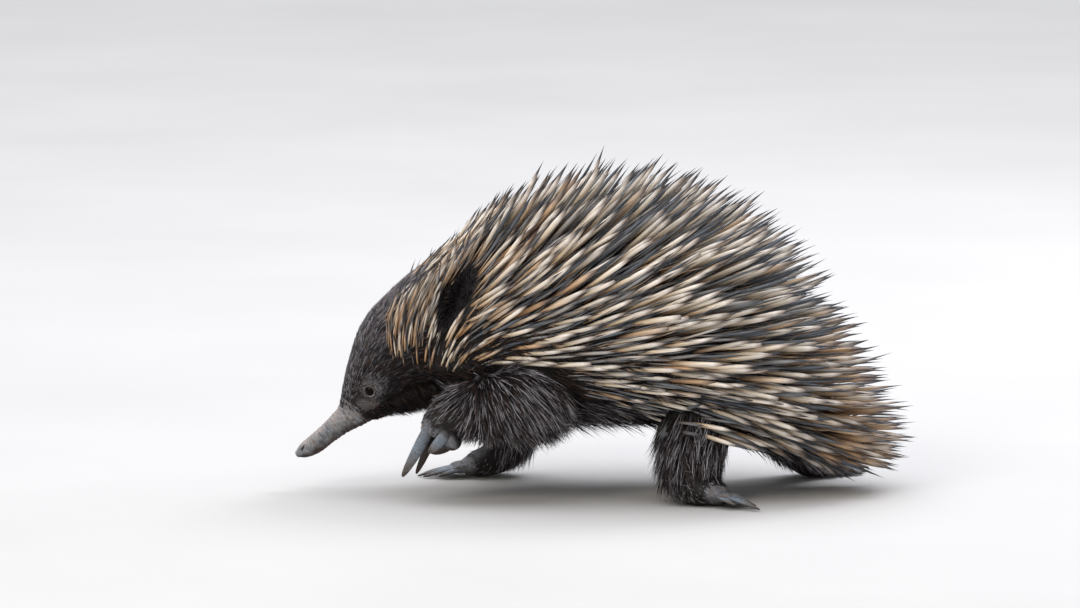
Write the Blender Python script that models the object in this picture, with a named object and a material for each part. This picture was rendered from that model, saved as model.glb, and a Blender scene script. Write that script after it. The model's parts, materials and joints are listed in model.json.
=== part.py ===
"""A short-beaked echidna walking with its head low: a still, life-size museum model.

Metres, +Z up. The animal faces -X and its left side faces -Y. The floor is z = 0, and the origin is on the
floor under the middle of the body. The head, neck, torso and tail are lengths of one lofted body, parted by
thin cuts; the legs are swept limbs that end where they meet the torso. Spines and locks of long hair are
tapered pieces, each set on the surface that it grows from and fused with it.
"""

import math
import random

import bmesh
import bpy
import numpy as np
from mathutils import Matrix, Vector
from mathutils.bvhtree import BVHTree

GAP = 0.0003
FAR_OUT = 0.3
LEFT, RIGHT = -1.0, 1.0
ACROSS = Vector((0.0, 1.0, 0.0))

# The body from the base of the beak to the tip of the tail, as sections that each hold a point of the back
# and the point of the belly below it: back x, back z, belly x, belly z, half width.
BODY = (
    (-0.1820, 0.0576, -0.1648, 0.0450, 0.0105),  # base of the beak
    (-0.1795, 0.0702, -0.1578, 0.0484, 0.0150),  # in front of the eyes
    (-0.1762, 0.0855, -0.1510, 0.0520, 0.0200),  # eyes
    (-0.1684, 0.1098, -0.1401, 0.0562, 0.0265),  # forehead
    (-0.1552, 0.1290, -0.1278, 0.0600, 0.0340),  # crown
    (-0.1262, 0.1546, -0.1047, 0.0608, 0.0470),  # ears
    (-0.0857, 0.1727, -0.0789, 0.0552, 0.0660),  # shoulders
    (-0.0313, 0.1850, -0.0381, 0.0478, 0.0800),  # chest
    (0.0231, 0.1829, 0.0163, 0.0470, 0.0850),  # belly
    (0.0721, 0.1598, 0.0639, 0.0405, 0.0800),  # loins
    (0.1081, 0.1258, 0.1061, 0.0300, 0.0640),  # rump
    (0.1339, 0.0884, 0.1340, 0.0224, 0.0410),  # root of the tail
    (0.1537, 0.0612, 0.1510, 0.0204, 0.0250),  # tail
    (0.1659, 0.0456, 0.1632, 0.0197, 0.0150),  # tail, near its end
    (0.1735, 0.0330, 0.1735, 0.0290, 0.0020),  # tip of the tail
)
# Each length of the body: its first and last section, how many rings it has and how many sides.
LENGTHS = {
    "head": (0.0, 3.45, 11, 20),
    "neck": (3.45, 5.9, 9, 24),
    "torso": (5.9, 11.3, 13, 26),
    "tail": (11.3, 14.0, 7, 18),
}
LOW_BULGE = 0.12  # the flanks are widest a little below the middle

# The beak from its tip to its base, in the same five columns.
BEAK = (
    (-0.2116, 0.0256, -0.2098, 0.0228, 0.0020),
    (-0.2082, 0.0312, -0.2033, 0.0223, 0.0054),
    (-0.2014, 0.0372, -0.1946, 0.0258, 0.0067),
    (-0.1937, 0.0440, -0.1848, 0.0334, 0.0076),
    (-0.1868, 0.0512, -0.1752, 0.0398, 0.0086),
    (-0.1820, 0.0576, -0.1648, 0.0450, 0.0105),
)
NOSTRIL = (-0.2070, 0.0286)
NOSTRIL_SIZE = (0.0008, 0.0030, 0.0017)
MOUTH, MOUTH_SIZE = (-0.2080, 0.0, 0.0238), (0.0055, 0.0080, 0.0006)

EYE = (-0.1605, 0.0712)
EYE_RADIUS, EYE_DEPTH = 0.0042, 0.0022
LID_RADIUS, LID_THICKNESS = 0.0054, 0.0017

EAR = (-0.1055, 0.1330)
EAR_LEAN = 0.22  # how far the top of the ear lies behind its foot, for each metre of height
EAR_HALF_HEIGHT, EAR_HALF_WIDTH, EAR_HEIGHT, EAR_DEPTH = 0.0235, 0.0092, 0.0050, 0.0040

# How the spines lie, for each section of the body from the forehead on: the angle of a spine above the
# horizontal in the side view at the ridge of the back, halfway down the flank and at the lowest row, in
# degrees, then its length at the ridge, and how far round from the back the lowest row grows, in degrees.
SPINE_FIRST = 3
SPINE_LIE = (
    (48, 86, 98, 0.022, 98),  # forehead
    (46, 84, 98, 0.030, 104),  # crown
    (48, 72, 72, 0.040, 110),  # ears
    (57, 60, 24, 0.052, 112),  # shoulders
    (55, 41, 2, 0.058, 112),  # chest
    (47, 25, -12, 0.058, 113),  # belly
    (33, 13, -25, 0.058, 122),  # loins
    (20, 5, -28, 0.056, 130),  # rump
    (8, 0, -19, 0.050, 140),  # root of the tail
    (8, 0, -9, 0.046, 148),  # tail
    (4, 0, -4, 0.044, 158),  # tail, near its end
    (2, 0, 0, 0.042, 165),  # tip of the tail
)
SPINE_SPLAY = math.radians(20)
SPINE_LEAST_LIFT = 0.24
SPINE_RADIUS, SPINE_ROOT_RADIUS, SPINE_SIDES = 0.0022, 0.0017, 3
SPINE_WIDEST = 0.38  # of its length
SPINE_ROOT_DEPTH = 0.0035
SPINE_LEAST_HEIGHT = 0.004
LOW_SPINES_SHORTER = 0.25
SPINE_PITCH = {"neck": 0.0100, "torso": 0.0126, "tail": 0.0115}
STEP = 0.002  # between the points where a piece is tested against its neighbours
ROOT_MARGIN = 0.08  # of a section, between the roots and a cut
TRIES, RAISE = 10, 0.09
SEED = 21

# Locks of coarse hair on the legs.
LOCK_LENGTH, LOCK_WIDTH, LOCK_FLATNESS = 0.022, 0.0042, 0.30
LOCK_ROWS, LOCKS_AROUND = (1.15, 1.65, 2.15), 5
LOCK_ROOT_DEPTH, LOCK_LIFT = 0.0025, 0.30


def spline(rows, place):
    """The row at a fractional place along evenly numbered rows, by a Catmull-Rom curve."""
    rows = np.asarray(rows, float)
    last = len(rows) - 1
    first = min(max(int(math.floor(place)), 0), last - 1)
    t = min(max(place - first, 0.0), 1.0)
    a, b = rows[first], rows[first + 1]
    before = rows[first - 1] if first else 2 * a - b
    after = rows[first + 2] if first + 2 <= last else 2 * b - a
    return 0.5 * (
        2 * a
        + (b - before) * t
        + (2 * before - 5 * a + 4 * b - after) * t**2
        + (3 * a - before - 3 * b + after) * t**3
    )


class Loft:
    """A body whose sections each span from a back point to a belly point."""

    def __init__(self, sections, low_bulge=0.0):
        self.sections = sections
        self.low_bulge = low_bulge

    def point(self, place, angle, swell=0.0):
        """The surface at an angle round from the back: 0 is the back, positive is the right side."""
        back_x, back_z, belly_x, belly_z, half_width = spline(self.sections, place)
        back, belly = Vector((back_x, 0, back_z)), Vector((belly_x, 0, belly_z))
        up = (back - belly).normalized()
        rise = (back - belly).length / 2 + swell
        wide = (half_width + swell) * (1 - self.low_bulge * math.cos(angle))
        return (back + belly) / 2 + up * rise * math.cos(angle) + ACROSS * wide * math.sin(angle)

    def normal(self, place, angle):
        step = 0.02
        along = self.point(place + step, angle) - self.point(place - step, angle)
        around = self.point(place, angle + step) - self.point(place, angle - step)
        return along.cross(around).normalized()

    def forward(self, place):
        """The direction square to a section's plane, towards the tail."""
        back_x, back_z, belly_x, belly_z, _ = spline(self.sections, place)
        up = Vector((back_x - belly_x, 0, back_z - belly_z)).normalized()
        return up.cross(ACROSS) * -1

    def rings(self, start, end, count, sides, shift_start=0.0, shift_end=0.0, swell=0.0):
        """Rings from start to end. A shift moves an end ring along its own plane's normal."""
        made = []
        for place in np.linspace(start, end, count):
            turns = [2 * math.pi * i / sides for i in range(sides)]
            made.append([self.point(place, turn, swell) for turn in turns])
        made[0] = [p + self.forward(start) * shift_start for p in made[0]]
        made[-1] = [p + self.forward(end) * shift_end for p in made[-1]]
        return made


class Limb:
    """A leg: rings square to a smooth path. Each joint holds x, y, z, radius front to back, radius across."""

    def __init__(self, joints, lifted):
        self.joints = joints
        self.lifted = lifted

    def frame(self, place):
        """(centre, direction, front, side, front radius, side radius) at a place along the path."""
        step = 0.02
        row = spline(self.joints, place)
        ahead = spline(self.joints, min(place + step, len(self.joints) - 1))
        behind = spline(self.joints, max(place - step, 0))
        direction = Vector(ahead[:3] - behind[:3]).normalized()
        front = ACROSS.cross(direction).normalized()
        return Vector(row[:3]), direction, front, direction.cross(front), row[3], row[4]

    def point(self, place, angle, swell=0.0):
        centre, _, front, side, front_radius, side_radius = self.frame(place)
        found = (
            centre
            + front * (front_radius + swell) * math.cos(angle)
            + side * (side_radius + swell) * math.sin(angle)
        )
        if not self.lifted:
            found.z = max(found.z, 0.0)
        return found

    def normal(self, place, angle):
        _, _, front, side, front_radius, side_radius = self.frame(place)
        return (front * math.cos(angle) / front_radius + side * math.sin(angle) / side_radius).normalized()

    def rings(self, start, end, count, sides, shift_start=0.0, shift_end=0.0, swell=0.0):
        made = []
        for place in np.linspace(start, end, count):
            turns = [2 * math.pi * i / sides for i in range(sides)]
            made.append([self.point(place, turn, swell) for turn in turns])
        made[0] = [p + self.frame(start)[1] * shift_start for p in made[0]]
        made[-1] = [p + self.frame(end)[1] * shift_end for p in made[-1]]
        return made


def material(name, colour, roughness):
    """A plain Principled finish with an sRGB-like colour already in linear values."""
    made = bpy.data.materials.new(name)
    made.use_nodes = True
    shader = made.node_tree.nodes["Principled BSDF"]
    shader.inputs["Base Color"].default_value = (*colour, 1.0)
    shader.inputs["Roughness"].default_value = roughness
    return made


def new_object(name, vertices, faces, finish=None):
    mesh = bpy.data.meshes.new(name)
    mesh.from_pydata([tuple(v) for v in vertices], [], faces)
    work = bmesh.new()
    work.from_mesh(mesh)
    bmesh.ops.recalc_face_normals(work, faces=work.faces)
    work.to_mesh(mesh)
    work.free()
    made = bpy.data.objects.new(name, mesh)
    bpy.context.scene.collection.objects.link(made)
    if finish:
        mesh.materials.append(finish)
    return made


def skinned(name, rings, finish=None):
    """A closed mesh through rings of points, with a flat cap on each end, split into triangles alike."""
    sides = len(rings[0])
    vertices = [point for ring in rings for point in ring]
    faces = [tuple(range(sides)), tuple(range(len(vertices) - sides, len(vertices)))[::-1]]
    for row in range(len(rings) - 1):
        for i in range(sides):
            a, b = row * sides + i, row * sides + (i + 1) % sides
            faces.append((a, b, b + sides, a + sides))
    return new_object(name, vertices, faces, finish)


def settle(thing):
    """Applies the modifiers of an object."""
    bpy.context.view_layer.update()
    evaluated = thing.evaluated_get(bpy.context.evaluated_depsgraph_get())
    mesh = bpy.data.meshes.new_from_object(evaluated)
    thing.modifiers.clear()
    thing.data = mesh


def keep_largest(thing):
    """Leaves only the largest closed surface, which drops sealed hollows and loose scraps."""
    work = bmesh.new()
    work.from_mesh(thing.data)
    unseen = set(work.verts)
    shells = []
    while unseen:
        stack = [unseen.pop()]
        shell = set(stack)
        while stack:
            for edge in stack.pop().link_edges:
                for other in edge.verts:
                    if other in unseen:
                        unseen.remove(other)
                        shell.add(other)
                        stack.append(other)
        shells.append(shell)

    def size(shell):
        spread = [vertex.co for vertex in shell]
        lows = [min(p[i] for p in spread) for i in range(3)]
        highs = [max(p[i] for p in spread) for i in range(3)]
        return sum((high - low) ** 2 for low, high in zip(lows, highs))

    largest = max(shells, key=size)
    loose = [v for shell in shells if shell is not largest for v in shell]
    bmesh.ops.delete(work, geom=loose, context="VERTS")
    bmesh.ops.triangulate(work, faces=work.faces)
    work.to_mesh(thing.data)
    work.free()


def join(thing, pieces, solver="MANIFOLD"):
    """Fuses pieces into thing by one union."""
    group = bpy.data.collections.new(thing.name + "_pieces")
    bpy.context.scene.collection.children.link(group)
    for piece in pieces:
        group.objects.link(piece)
    union = thing.modifiers.new("join", "BOOLEAN")
    union.operation = "UNION"
    union.operand_type = "COLLECTION"
    union.collection = group
    union.solver = solver
    settle(thing)
    for piece in pieces:
        bpy.data.objects.remove(piece)
    bpy.data.collections.remove(group)
    keep_largest(thing)


def cut(thing, cutters):
    """Takes each cutter from thing, and removes the cutters."""
    for cutter in cutters:
        difference = thing.modifiers.new("cut", "BOOLEAN")
        difference.operation = "DIFFERENCE"
        difference.object = cutter
        difference.solver = "EXACT"
        settle(thing)
    keep_largest(thing)
    for cutter in cutters:
        bpy.data.objects.remove(cutter)


def tree_of(*things):
    work = bmesh.new()
    for thing in things:
        work.from_mesh(thing.data)
    bmesh.ops.triangulate(work, faces=work.faces)
    found = BVHTree.FromBMesh(work)
    work.free()
    return found


def side_point(tree, x, z, side):
    """Where a line from the side meets a surface: (point, outward normal)."""
    point, normal, _, _ = tree.ray_cast(Vector((x, side * FAR_OUT, z)), Vector((0, -side, 0)))
    return point, normal


def ball(name, centre, radii, turn=None, segments=12, rows=8, finish=None):
    """An ellipsoid, turned by a rotation matrix."""
    work = bmesh.new()
    bmesh.ops.create_uvsphere(work, u_segments=segments, v_segments=rows, radius=1.0)
    turn = turn or Matrix.Identity(3)
    shape = Matrix.Translation(centre) @ turn.to_4x4() @ Matrix.Diagonal((*radii, 1.0))
    bmesh.ops.transform(work, matrix=shape, verts=work.verts)
    mesh = bpy.data.meshes.new(name)
    work.to_mesh(mesh)
    work.free()
    made = bpy.data.objects.new(name, mesh)
    bpy.context.scene.collection.objects.link(made)
    if finish:
        mesh.materials.append(finish)
    return made


def facing(normal, up=Vector((0, 0, 1))):
    """A rotation whose third column is normal and whose second leans to up."""
    third = normal.normalized()
    first = up.cross(third).normalized()
    return Matrix((first, third.cross(first), third)).transposed()


def taper(name, path, radii, flat=1.0, side_way=None, sides=3):
    """A closed, tapered piece: a ring at each point of path but the last, which is its tip."""
    vertices = []
    direction = (path[-1] - path[0]).normalized()
    side_way = side_way or direction.orthogonal()
    first = (side_way - direction * side_way.dot(direction)).normalized()
    second = direction.cross(first)
    for centre, radius in zip(path[:-1], radii):
        for i in range(sides):
            turn = 2 * math.pi * i / sides
            out = first * math.cos(turn) + second * flat * math.sin(turn)
            vertices.append(centre + out * radius)
    vertices.append(path[-1])
    tip = len(vertices) - 1
    faces = [tuple(range(sides))]
    for row in range(len(path) - 2):
        for i in range(sides):
            a, b = row * sides + i, row * sides + (i + 1) % sides
            faces.append((a, b, b + sides, a + sides))
    last = tip - sides
    faces += [(last + i, last + (i + 1) % sides, tip) for i in range(sides)]
    return new_object(name, vertices, faces)


BODY_LOFT = Loft(BODY, LOW_BULGE)
BEAK_LOFT = Loft(BEAK)


def body_length(name, finish):
    """One length of the body. Its rear cap stands back by the gap."""
    return skinned(name, BODY_LOFT.rings(*LENGTHS[name], shift_end=-GAP), finish)


def swollen(name, by=GAP):
    """A length of the body, swollen, to cut what meets it."""
    return skinned("core", BODY_LOFT.rings(*LENGTHS[name], shift_start=-by, shift_end=by, swell=by))


def make_beak(finish):
    """The bare beak, with two nostrils and the short line of the mouth under its tip."""
    rings = BEAK_LOFT.rings(0.0, 5.0, 13, 14, shift_end=-GAP)
    beak = skinned("beak", rings, finish)
    tree = tree_of(beak)
    cutters = []
    for side in (LEFT, RIGHT):
        point, normal = side_point(tree, *NOSTRIL, side)
        cutters.append(ball("nostril", point, NOSTRIL_SIZE, facing(normal), 8, 5))
    slot = ball("mouth", Vector(MOUTH), MOUTH_SIZE, None, 10, 5)
    cut(beak, [*cutters, slot])
    return beak


def make_head(finish):
    """The furred head, with a ring of lid round each eye and a socket that holds it."""
    head = body_length("head", finish)
    tree = tree_of(head)
    lids, sockets, eyes = [], [], []
    for side in (LEFT, RIGHT):
        point, normal = side_point(tree, *EYE, side)
        centre = point - normal * EYE_DEPTH
        turn = facing(normal)
        lid = lid_ring(point, turn)
        lids.append(lid)
        sockets.append(ball("socket", centre, (EYE_RADIUS + GAP,) * 3, turn, 12, 8))
        eyes.append((centre, turn))
    join(head, lids)
    cut(head, sockets)
    return head, eyes


def lid_ring(centre, turn):
    """A low ring that stands round the eye."""
    around, through = 12, 6
    vertices = []
    for i in range(around):
        turn_round = 2 * math.pi * i / around
        out = Vector((math.cos(turn_round), 0.85 * math.sin(turn_round), 0))
        for j in range(through):
            roll = 2 * math.pi * j / through
            local = out * (LID_RADIUS + LID_THICKNESS * math.cos(roll)) + Vector(
                (0, 0, LID_THICKNESS * math.sin(roll))
            )
            vertices.append(centre + turn @ local)
    faces = []
    for i in range(around):
        for j in range(through):
            a, b = i * through + j, i * through + (j + 1) % through
            c, d = (i + 1) % around * through + (j + 1) % through, (i + 1) % around * through + j
            faces.append((a, b, c, d))
    return new_object("lid", vertices, faces)


def make_ear(name, tree, side, finish):
    """An upright, open cup whose foot follows the side of the neck."""
    point, normal = side_point(tree, *EAR, side)
    turn = facing(normal, Vector((EAR_LEAN, 0, 1)))
    profile = (  # share of the half size, height over the neck
        (1.00, -EAR_DEPTH),
        (1.05, 0.3 * EAR_HEIGHT),
        (0.95, EAR_HEIGHT),
        (0.62, 0.9 * EAR_HEIGHT),
        (0.50, 0.2 * EAR_HEIGHT),
    )
    sides = 14
    rings = []
    for share, height in profile:
        ring = []
        for i in range(sides):
            angle = 2 * math.pi * i / sides
            local = Vector(
                (
                    EAR_HALF_WIDTH * share * math.cos(angle),
                    (EAR_HALF_HEIGHT - EAR_HALF_WIDTH * (1 - share)) * math.sin(angle),
                    height,
                )
            )
            ring.append(point + turn @ local)
        rings.append(ring)
    return skinned(name, rings, finish)


# Each leg's joints, from inside the torso to the ankle or wrist and then to the ends of the toes: x, y, z,
# radius front to back, radius across.
LEGS = {
    "left_fore": (
        (-0.0400, -0.0400, 0.0920, 0.0300, 0.0260),
        (-0.0540, -0.0620, 0.0740, 0.0260, 0.0220),
        (-0.0800, -0.0655, 0.0670, 0.0210, 0.0185),
        (-0.1010, -0.0640, 0.0590, 0.0170, 0.0150),
        (-0.1125, -0.0635, 0.0515, 0.0125, 0.0150),
        (-0.1190, -0.0630, 0.0445, 0.0075, 0.0110),
    ),
    "right_fore": (
        (-0.0480, 0.0400, 0.0800, 0.0280, 0.0240),
        (-0.0590, 0.0600, 0.0500, 0.0240, 0.0210),
        (-0.0660, 0.0640, 0.0270, 0.0180, 0.0180),
        (-0.0740, 0.0640, 0.0140, 0.0140, 0.0165),
        (-0.0880, 0.0630, 0.0090, 0.0095, 0.0175),
        (-0.0980, 0.0620, 0.0060, 0.0050, 0.0125),
    ),
    "left_hind": (
        (0.0680, -0.0300, 0.0720, 0.0310, 0.0260),
        (0.0590, -0.0520, 0.0450, 0.0255, 0.0230),
        (0.0570, -0.0610, 0.0240, 0.0220, 0.0200),
        (0.0610, -0.0660, 0.0125, 0.0175, 0.0180),
        (0.0715, -0.0735, 0.0085, 0.0100, 0.0170),
        (0.0785, -0.0780, 0.0060, 0.0050, 0.0120),
    ),
    "right_hind": (
        (0.1060, 0.0260, 0.0560, 0.0250, 0.0220),
        (0.1220, 0.0440, 0.0370, 0.0210, 0.0200),
        (0.1330, 0.0540, 0.0210, 0.0170, 0.0170),
        (0.1410, 0.0600, 0.0120, 0.0140, 0.0160),
        (0.1520, 0.0660, 0.0085, 0.0095, 0.0160),
        (0.1590, 0.0700, 0.0060, 0.0050, 0.0110),
    ),
}
FOOT_START, FOOT_END = 3.0, 5.0
LEG_SIDES = 12

# The claws of each foot from the inner to the outer: place across the toes from -1 to 1, length.
FORE_CLAWS = ((-0.9, 0.016), (-0.45, 0.026), (0.0, 0.029), (0.45, 0.025), (0.9, 0.015))
HIND_CLAWS = ((-0.9, 0.012), (-0.45, 0.018), (0.0, 0.022), (0.45, 0.030), (0.9, 0.014))
CLAW_WIDTH, CLAW_HEIGHT = 0.0027, 0.0022
CLAW_SPREAD, CLAW_FAN = 0.80, 0.22
PAW_ROLL = math.radians(50)  # how far the lifted paw is turned to show its claws side by side
LIFTED_CLAWS = (-0.40, 0.0, -0.90)  # the way they hang
CLAW_TAPER = (0.9, 1.0, 0.75)
CLAW_CURVE = ((0.0, 0.0), (0.40, 0.05), (0.75, 0.05), (1.0, 0.0))  # share of its length, bow to the front


def make_leg(key, limb, furred):
    """A leg down to the ankle, its upper end cut to the body."""
    leg = skinned(key + "_leg", limb.rings(0.0, FOOT_START, 8, LEG_SIDES, shift_end=-GAP), furred)
    cut(leg, [swollen("neck"), swollen("torso"), swollen("tail")])
    return leg


def claw_path(key, limb, spread, length):
    """The points from a claw's root in the foot to its tip, and the way across the toes."""
    centre, direction, front, side, front_radius, side_radius = limb.frame(FOOT_END - 0.35)
    if limb.lifted:
        side = side * math.cos(PAW_ROLL) + front * math.sin(PAW_ROLL)
        ahead = Vector(LIFTED_CLAWS)
        across = CLAW_SPREAD * (side_radius + front_radius) / 2
    else:
        ahead = Vector((direction.x, direction.y, -0.10))
        across = CLAW_SPREAD * side_radius
    if key.startswith("left"):
        spread = -spread
    root = centre + side * across * spread
    ahead = (ahead.normalized() + side * CLAW_FAN * spread).normalized()
    reach = length + front_radius
    path = [root + ahead * reach * share + front * reach * bow for share, bow in CLAW_CURVE]
    if not limb.lifted:
        lowest = CLAW_HEIGHT + GAP
        path = [Vector((p.x, p.y, max(p.z, lowest))) for p in path[:-1]] + [path[-1]]
        path[-1].z = max(path[-1].z, GAP)
    return path, side


def make_foot(key, limb, horn):
    """A foot with five blunt claws fused to it."""
    foot = skinned(key + "_foot", limb.rings(FOOT_START, FOOT_END, 6, LEG_SIDES), horn)
    claws = []
    for spread, length in FORE_CLAWS if key.endswith("fore") else HIND_CLAWS:
        path, side = claw_path(key, limb, spread, length)
        radii = [CLAW_WIDTH * share for share in CLAW_TAPER]
        claws.append(taper("claw", path, radii, CLAW_HEIGHT / CLAW_WIDTH, side, 6))
    join(foot, claws)
    return foot


def lowest_row(place):
    """How far round from the back spines grow at a place along the body."""
    return math.radians(float(spline(SPINE_LIE, place - SPINE_FIRST)[4]))


def spine_direction(place, angle, turn, splay):
    """(direction, the skin's normal, length) of a spine, lifted where it would lie in the body."""
    ridge, flank, low, length, lowest = spline(SPINE_LIE, place - SPINE_FIRST)
    down = min(abs(angle) / math.radians(lowest), 1.0)
    if down < 0.5:
        lie = ridge + (flank - ridge) * (2 * down) ** 1.2
    else:
        lie = flank + (low - flank) * (2 * down - 1)
    lie = math.radians(lie) + turn
    lean = SPINE_SPLAY * math.sin(angle) + splay
    way = Vector((math.cos(lie) * math.cos(lean), math.sin(lean), math.sin(lie) * math.cos(lean)))
    normal = BODY_LOFT.normal(place, angle)
    lift = way.dot(normal)
    if lift < SPINE_LEAST_LIFT:
        way = (way + normal * (SPINE_LEAST_LIFT - lift)).normalized()
    return way, normal, length * (1 - LOW_SPINES_SHORTER * down**2)


class Spacing:
    """The nodes and the earlier spines that a new spine keeps clear of."""

    def __init__(self, trees):
        self.trees = trees
        self.starts = np.zeros((0, 3))
        self.ends = np.zeros((0, 3))
        self.owners = np.zeros(0, str)

    def to_spines(self, start, end, owner):
        """The least distances from this straight piece to the earlier ones: (of other nodes, of its own)."""
        if not len(self.starts):
            return 1.0, 1.0
        p, q = np.array(start), np.array(end)
        first, second, apart = q - p, self.ends - self.starts, p - self.starts
        a, e = first @ first, (second * second).sum(1)
        f, c, b = (second * apart).sum(1), apart @ first, second @ first
        parallel = np.maximum(a * e - b * b, 1e-12)
        s = np.clip((b * f - c * e) / parallel, 0, 1)
        t = np.clip((b * s + f) / e, 0, 1)
        s = np.clip((b * t - c) / a, 0, 1)
        between = apart + s[:, None] * first - t[:, None] * second
        gaps = np.sqrt((between * between).sum(1))
        own = self.owners == owner
        return gaps[~own].min(initial=1.0), gaps[own].min(initial=1.0)

    def clear_of_nodes(self, path, radii, owner):
        """Whether a piece along path, with radii at its points, stays the gap away from other nodes."""
        for start, end, wide, narrow in zip(path, path[1:], radii, [*radii[1:], 0.0]):
            steps = max(2, round((end - start).length / STEP))
            for step in range(steps + 1):
                share = step / steps
                point = start.lerp(end, share)
                reach = wide + (narrow - wide) * share + GAP
                for name, tree in self.trees.items():
                    if name != owner and tree.find_nearest(point, reach)[0] is not None:
                        return False
        return True

    def add(self, start, end, owner):
        self.starts = np.vstack([self.starts, np.array(start)[None]])
        self.ends = np.vstack([self.ends, np.array(end)[None]])
        self.owners = np.append(self.owners, owner)


def in_ear(x, z, margin):
    """Whether a point of the side view is in or near the ear."""
    across, up = (x - EAR[0]) / (EAR_HALF_WIDTH + margin), (z - EAR[1]) / (EAR_HALF_HEIGHT + margin)
    return across**2 + up**2 < 1


def spine_roots(first, last, pitch):
    """(place, angle) of spine roots between two sections, about pitch apart, each row set off by a half."""
    roots = []
    rows = 0
    place = first + ROOT_MARGIN
    while place < last - ROOT_MARGIN:
        lowest = lowest_row(place)
        turns = np.linspace(0, lowest, 9)
        points = [BODY_LOFT.point(place, turn) for turn in turns]
        girth = sum((b - a).length for a, b in zip(points, points[1:]))
        steps = max(2, round(girth / pitch))
        for side in (LEFT, RIGHT):
            for i in range(steps + 1 - rows % 2):
                if rows % 2 or i or side == LEFT:
                    roots.append((place, side * lowest * (i + 0.5 * (rows % 2)) / steps))
        ahead = (BODY_LOFT.point(place + 0.1, 0.8) - BODY_LOFT.point(place, 0.8)).length / 0.1
        place += pitch / ahead
        rows += 1
    return roots


def make_spines(owner, spacing, rng):
    """The spines of one node, each the clearest of a few tries. One that meets another node is left out."""
    first, last = LENGTHS[owner][:2]
    radii = (SPINE_ROOT_RADIUS, SPINE_RADIUS)
    made = []
    for place, angle in spine_roots(first, last, SPINE_PITCH[owner]):
        base = BODY_LOFT.point(place, angle)
        if in_ear(base.x, base.z, 0.004):
            continue
        best, raised = None, 0.0
        for attempt in range(TRIES):
            turn, splay = math.radians(rng.gauss(0, 3.5)), math.radians(rng.gauss(0, 3))
            way, normal, length = spine_direction(place, angle, turn, splay)
            way = (way + normal * (raised + 0.04 * (attempt // 2))).normalized()
            tip = base + way * length * rng.uniform(0.88, 1.06)
            path = [base - normal * SPINE_ROOT_DEPTH, base.lerp(tip, SPINE_WIDEST), tip]
            if tip.z < SPINE_LEAST_HEIGHT or in_ear(tip.x, tip.z, 0.001):
                continue
            others, own = spacing.to_spines(base, tip, owner)
            if others < 2 * SPINE_RADIUS + GAP:
                continue
            if not spacing.clear_of_nodes(path, radii, owner):
                raised += RAISE
                continue
            if best is None or own > best[0]:
                best = (own, base, path)
            if own > 2 * SPINE_RADIUS + GAP:
                break
        if best is None:
            continue
        _, base, path = best
        spacing.add(base, path[-1], owner)
        made.append(taper("spine", path, radii, sides=SPINE_SIDES))
    return made


def make_locks(owner, limb, spacing, rng):
    """Flat, bent locks of coarse hair that hang along a leg and overlap the ones below."""
    made = []
    for row, place in enumerate(LOCK_ROWS):
        for i in range(LOCKS_AROUND):
            angle = 2 * math.pi * (i + 0.5 * (row % 2) + rng.uniform(-0.1, 0.1)) / LOCKS_AROUND
            _, direction, front, side, _, _ = limb.frame(place)
            normal = limb.normal(place, angle)
            across = direction.cross(normal).normalized()
            base = limb.point(place, angle)
            length = LOCK_LENGTH * rng.uniform(0.85, 1.15)
            way = (direction + Vector((0.35, 0, 0)) + normal * LOCK_LIFT).normalized()
            droop = (way - normal * LOCK_LIFT).normalized()
            middle = base + way * length * 0.5
            tip = middle + droop * length * 0.5
            path = [base - normal * LOCK_ROOT_DEPTH, base.lerp(middle, 0.5), middle, tip]
            radii = [LOCK_WIDTH * share for share in (0.7, 1.0, 0.8)]
            if min(point.z for point in path) < LOCK_WIDTH:
                continue
            if not spacing.clear_of_nodes(path[1:], radii[1:], owner):
                continue
            made.append(taper("lock", path, radii, LOCK_FLATNESS, across, 4))
    return made


def build():
    for old in list(bpy.data.objects):
        bpy.data.objects.remove(old)
    bare = material("bare_skin", (0.19, 0.17, 0.15), 0.7)
    furred = material("dark_fur", (0.035, 0.027, 0.023), 0.85)
    spiny = material("spiny_coat", (0.30, 0.23, 0.14), 0.5)
    horn = material("claw_horn", (0.20, 0.19, 0.18), 0.4)
    black = material("wet_eye", (0.01, 0.008, 0.007), 0.08)

    beak = make_beak(bare)
    head, eyes = make_head(furred)
    nodes = [beak, head]
    for (centre, turn), side in zip(eyes, ("left", "right")):
        ball(side + "_eye", centre, (EYE_RADIUS,) * 3, turn, 10, 6, black)
    neck, torso, tail = (body_length(name, spiny) for name in ("neck", "torso", "tail"))
    nodes += [neck, torso, tail]
    neck_tree = tree_of(neck)
    for name, side in (("left_ear", LEFT), ("right_ear", RIGHT)):
        ear = make_ear(name, neck_tree, side, furred)
        cut(ear, [swollen("head"), swollen("neck"), swollen("torso")])
        nodes.append(ear)
    limbs = {key: Limb(joints, key == "left_fore") for key, joints in LEGS.items()}
    for key, limb in limbs.items():
        nodes += [make_leg(key, limb, furred), make_foot(key, limb, horn)]

    rng = random.Random(SEED)
    spacing = Spacing({node.name: tree_of(node) for node in nodes})
    for key, limb in limbs.items():
        leg = bpy.data.objects[key + "_leg"]
        join(leg, make_locks(leg.name, limb, spacing, rng))
        spacing.trees[leg.name] = tree_of(leg)
    for thing in (neck, torso, tail):
        join(thing, make_spines(thing.name, spacing, rng))


build()
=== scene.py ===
import json
import math
from itertools import product

import bpy
import numpy as np
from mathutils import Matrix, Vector
from mathutils.bvhtree import BVHTree
from mathutils.kdtree import KDTree

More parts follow.
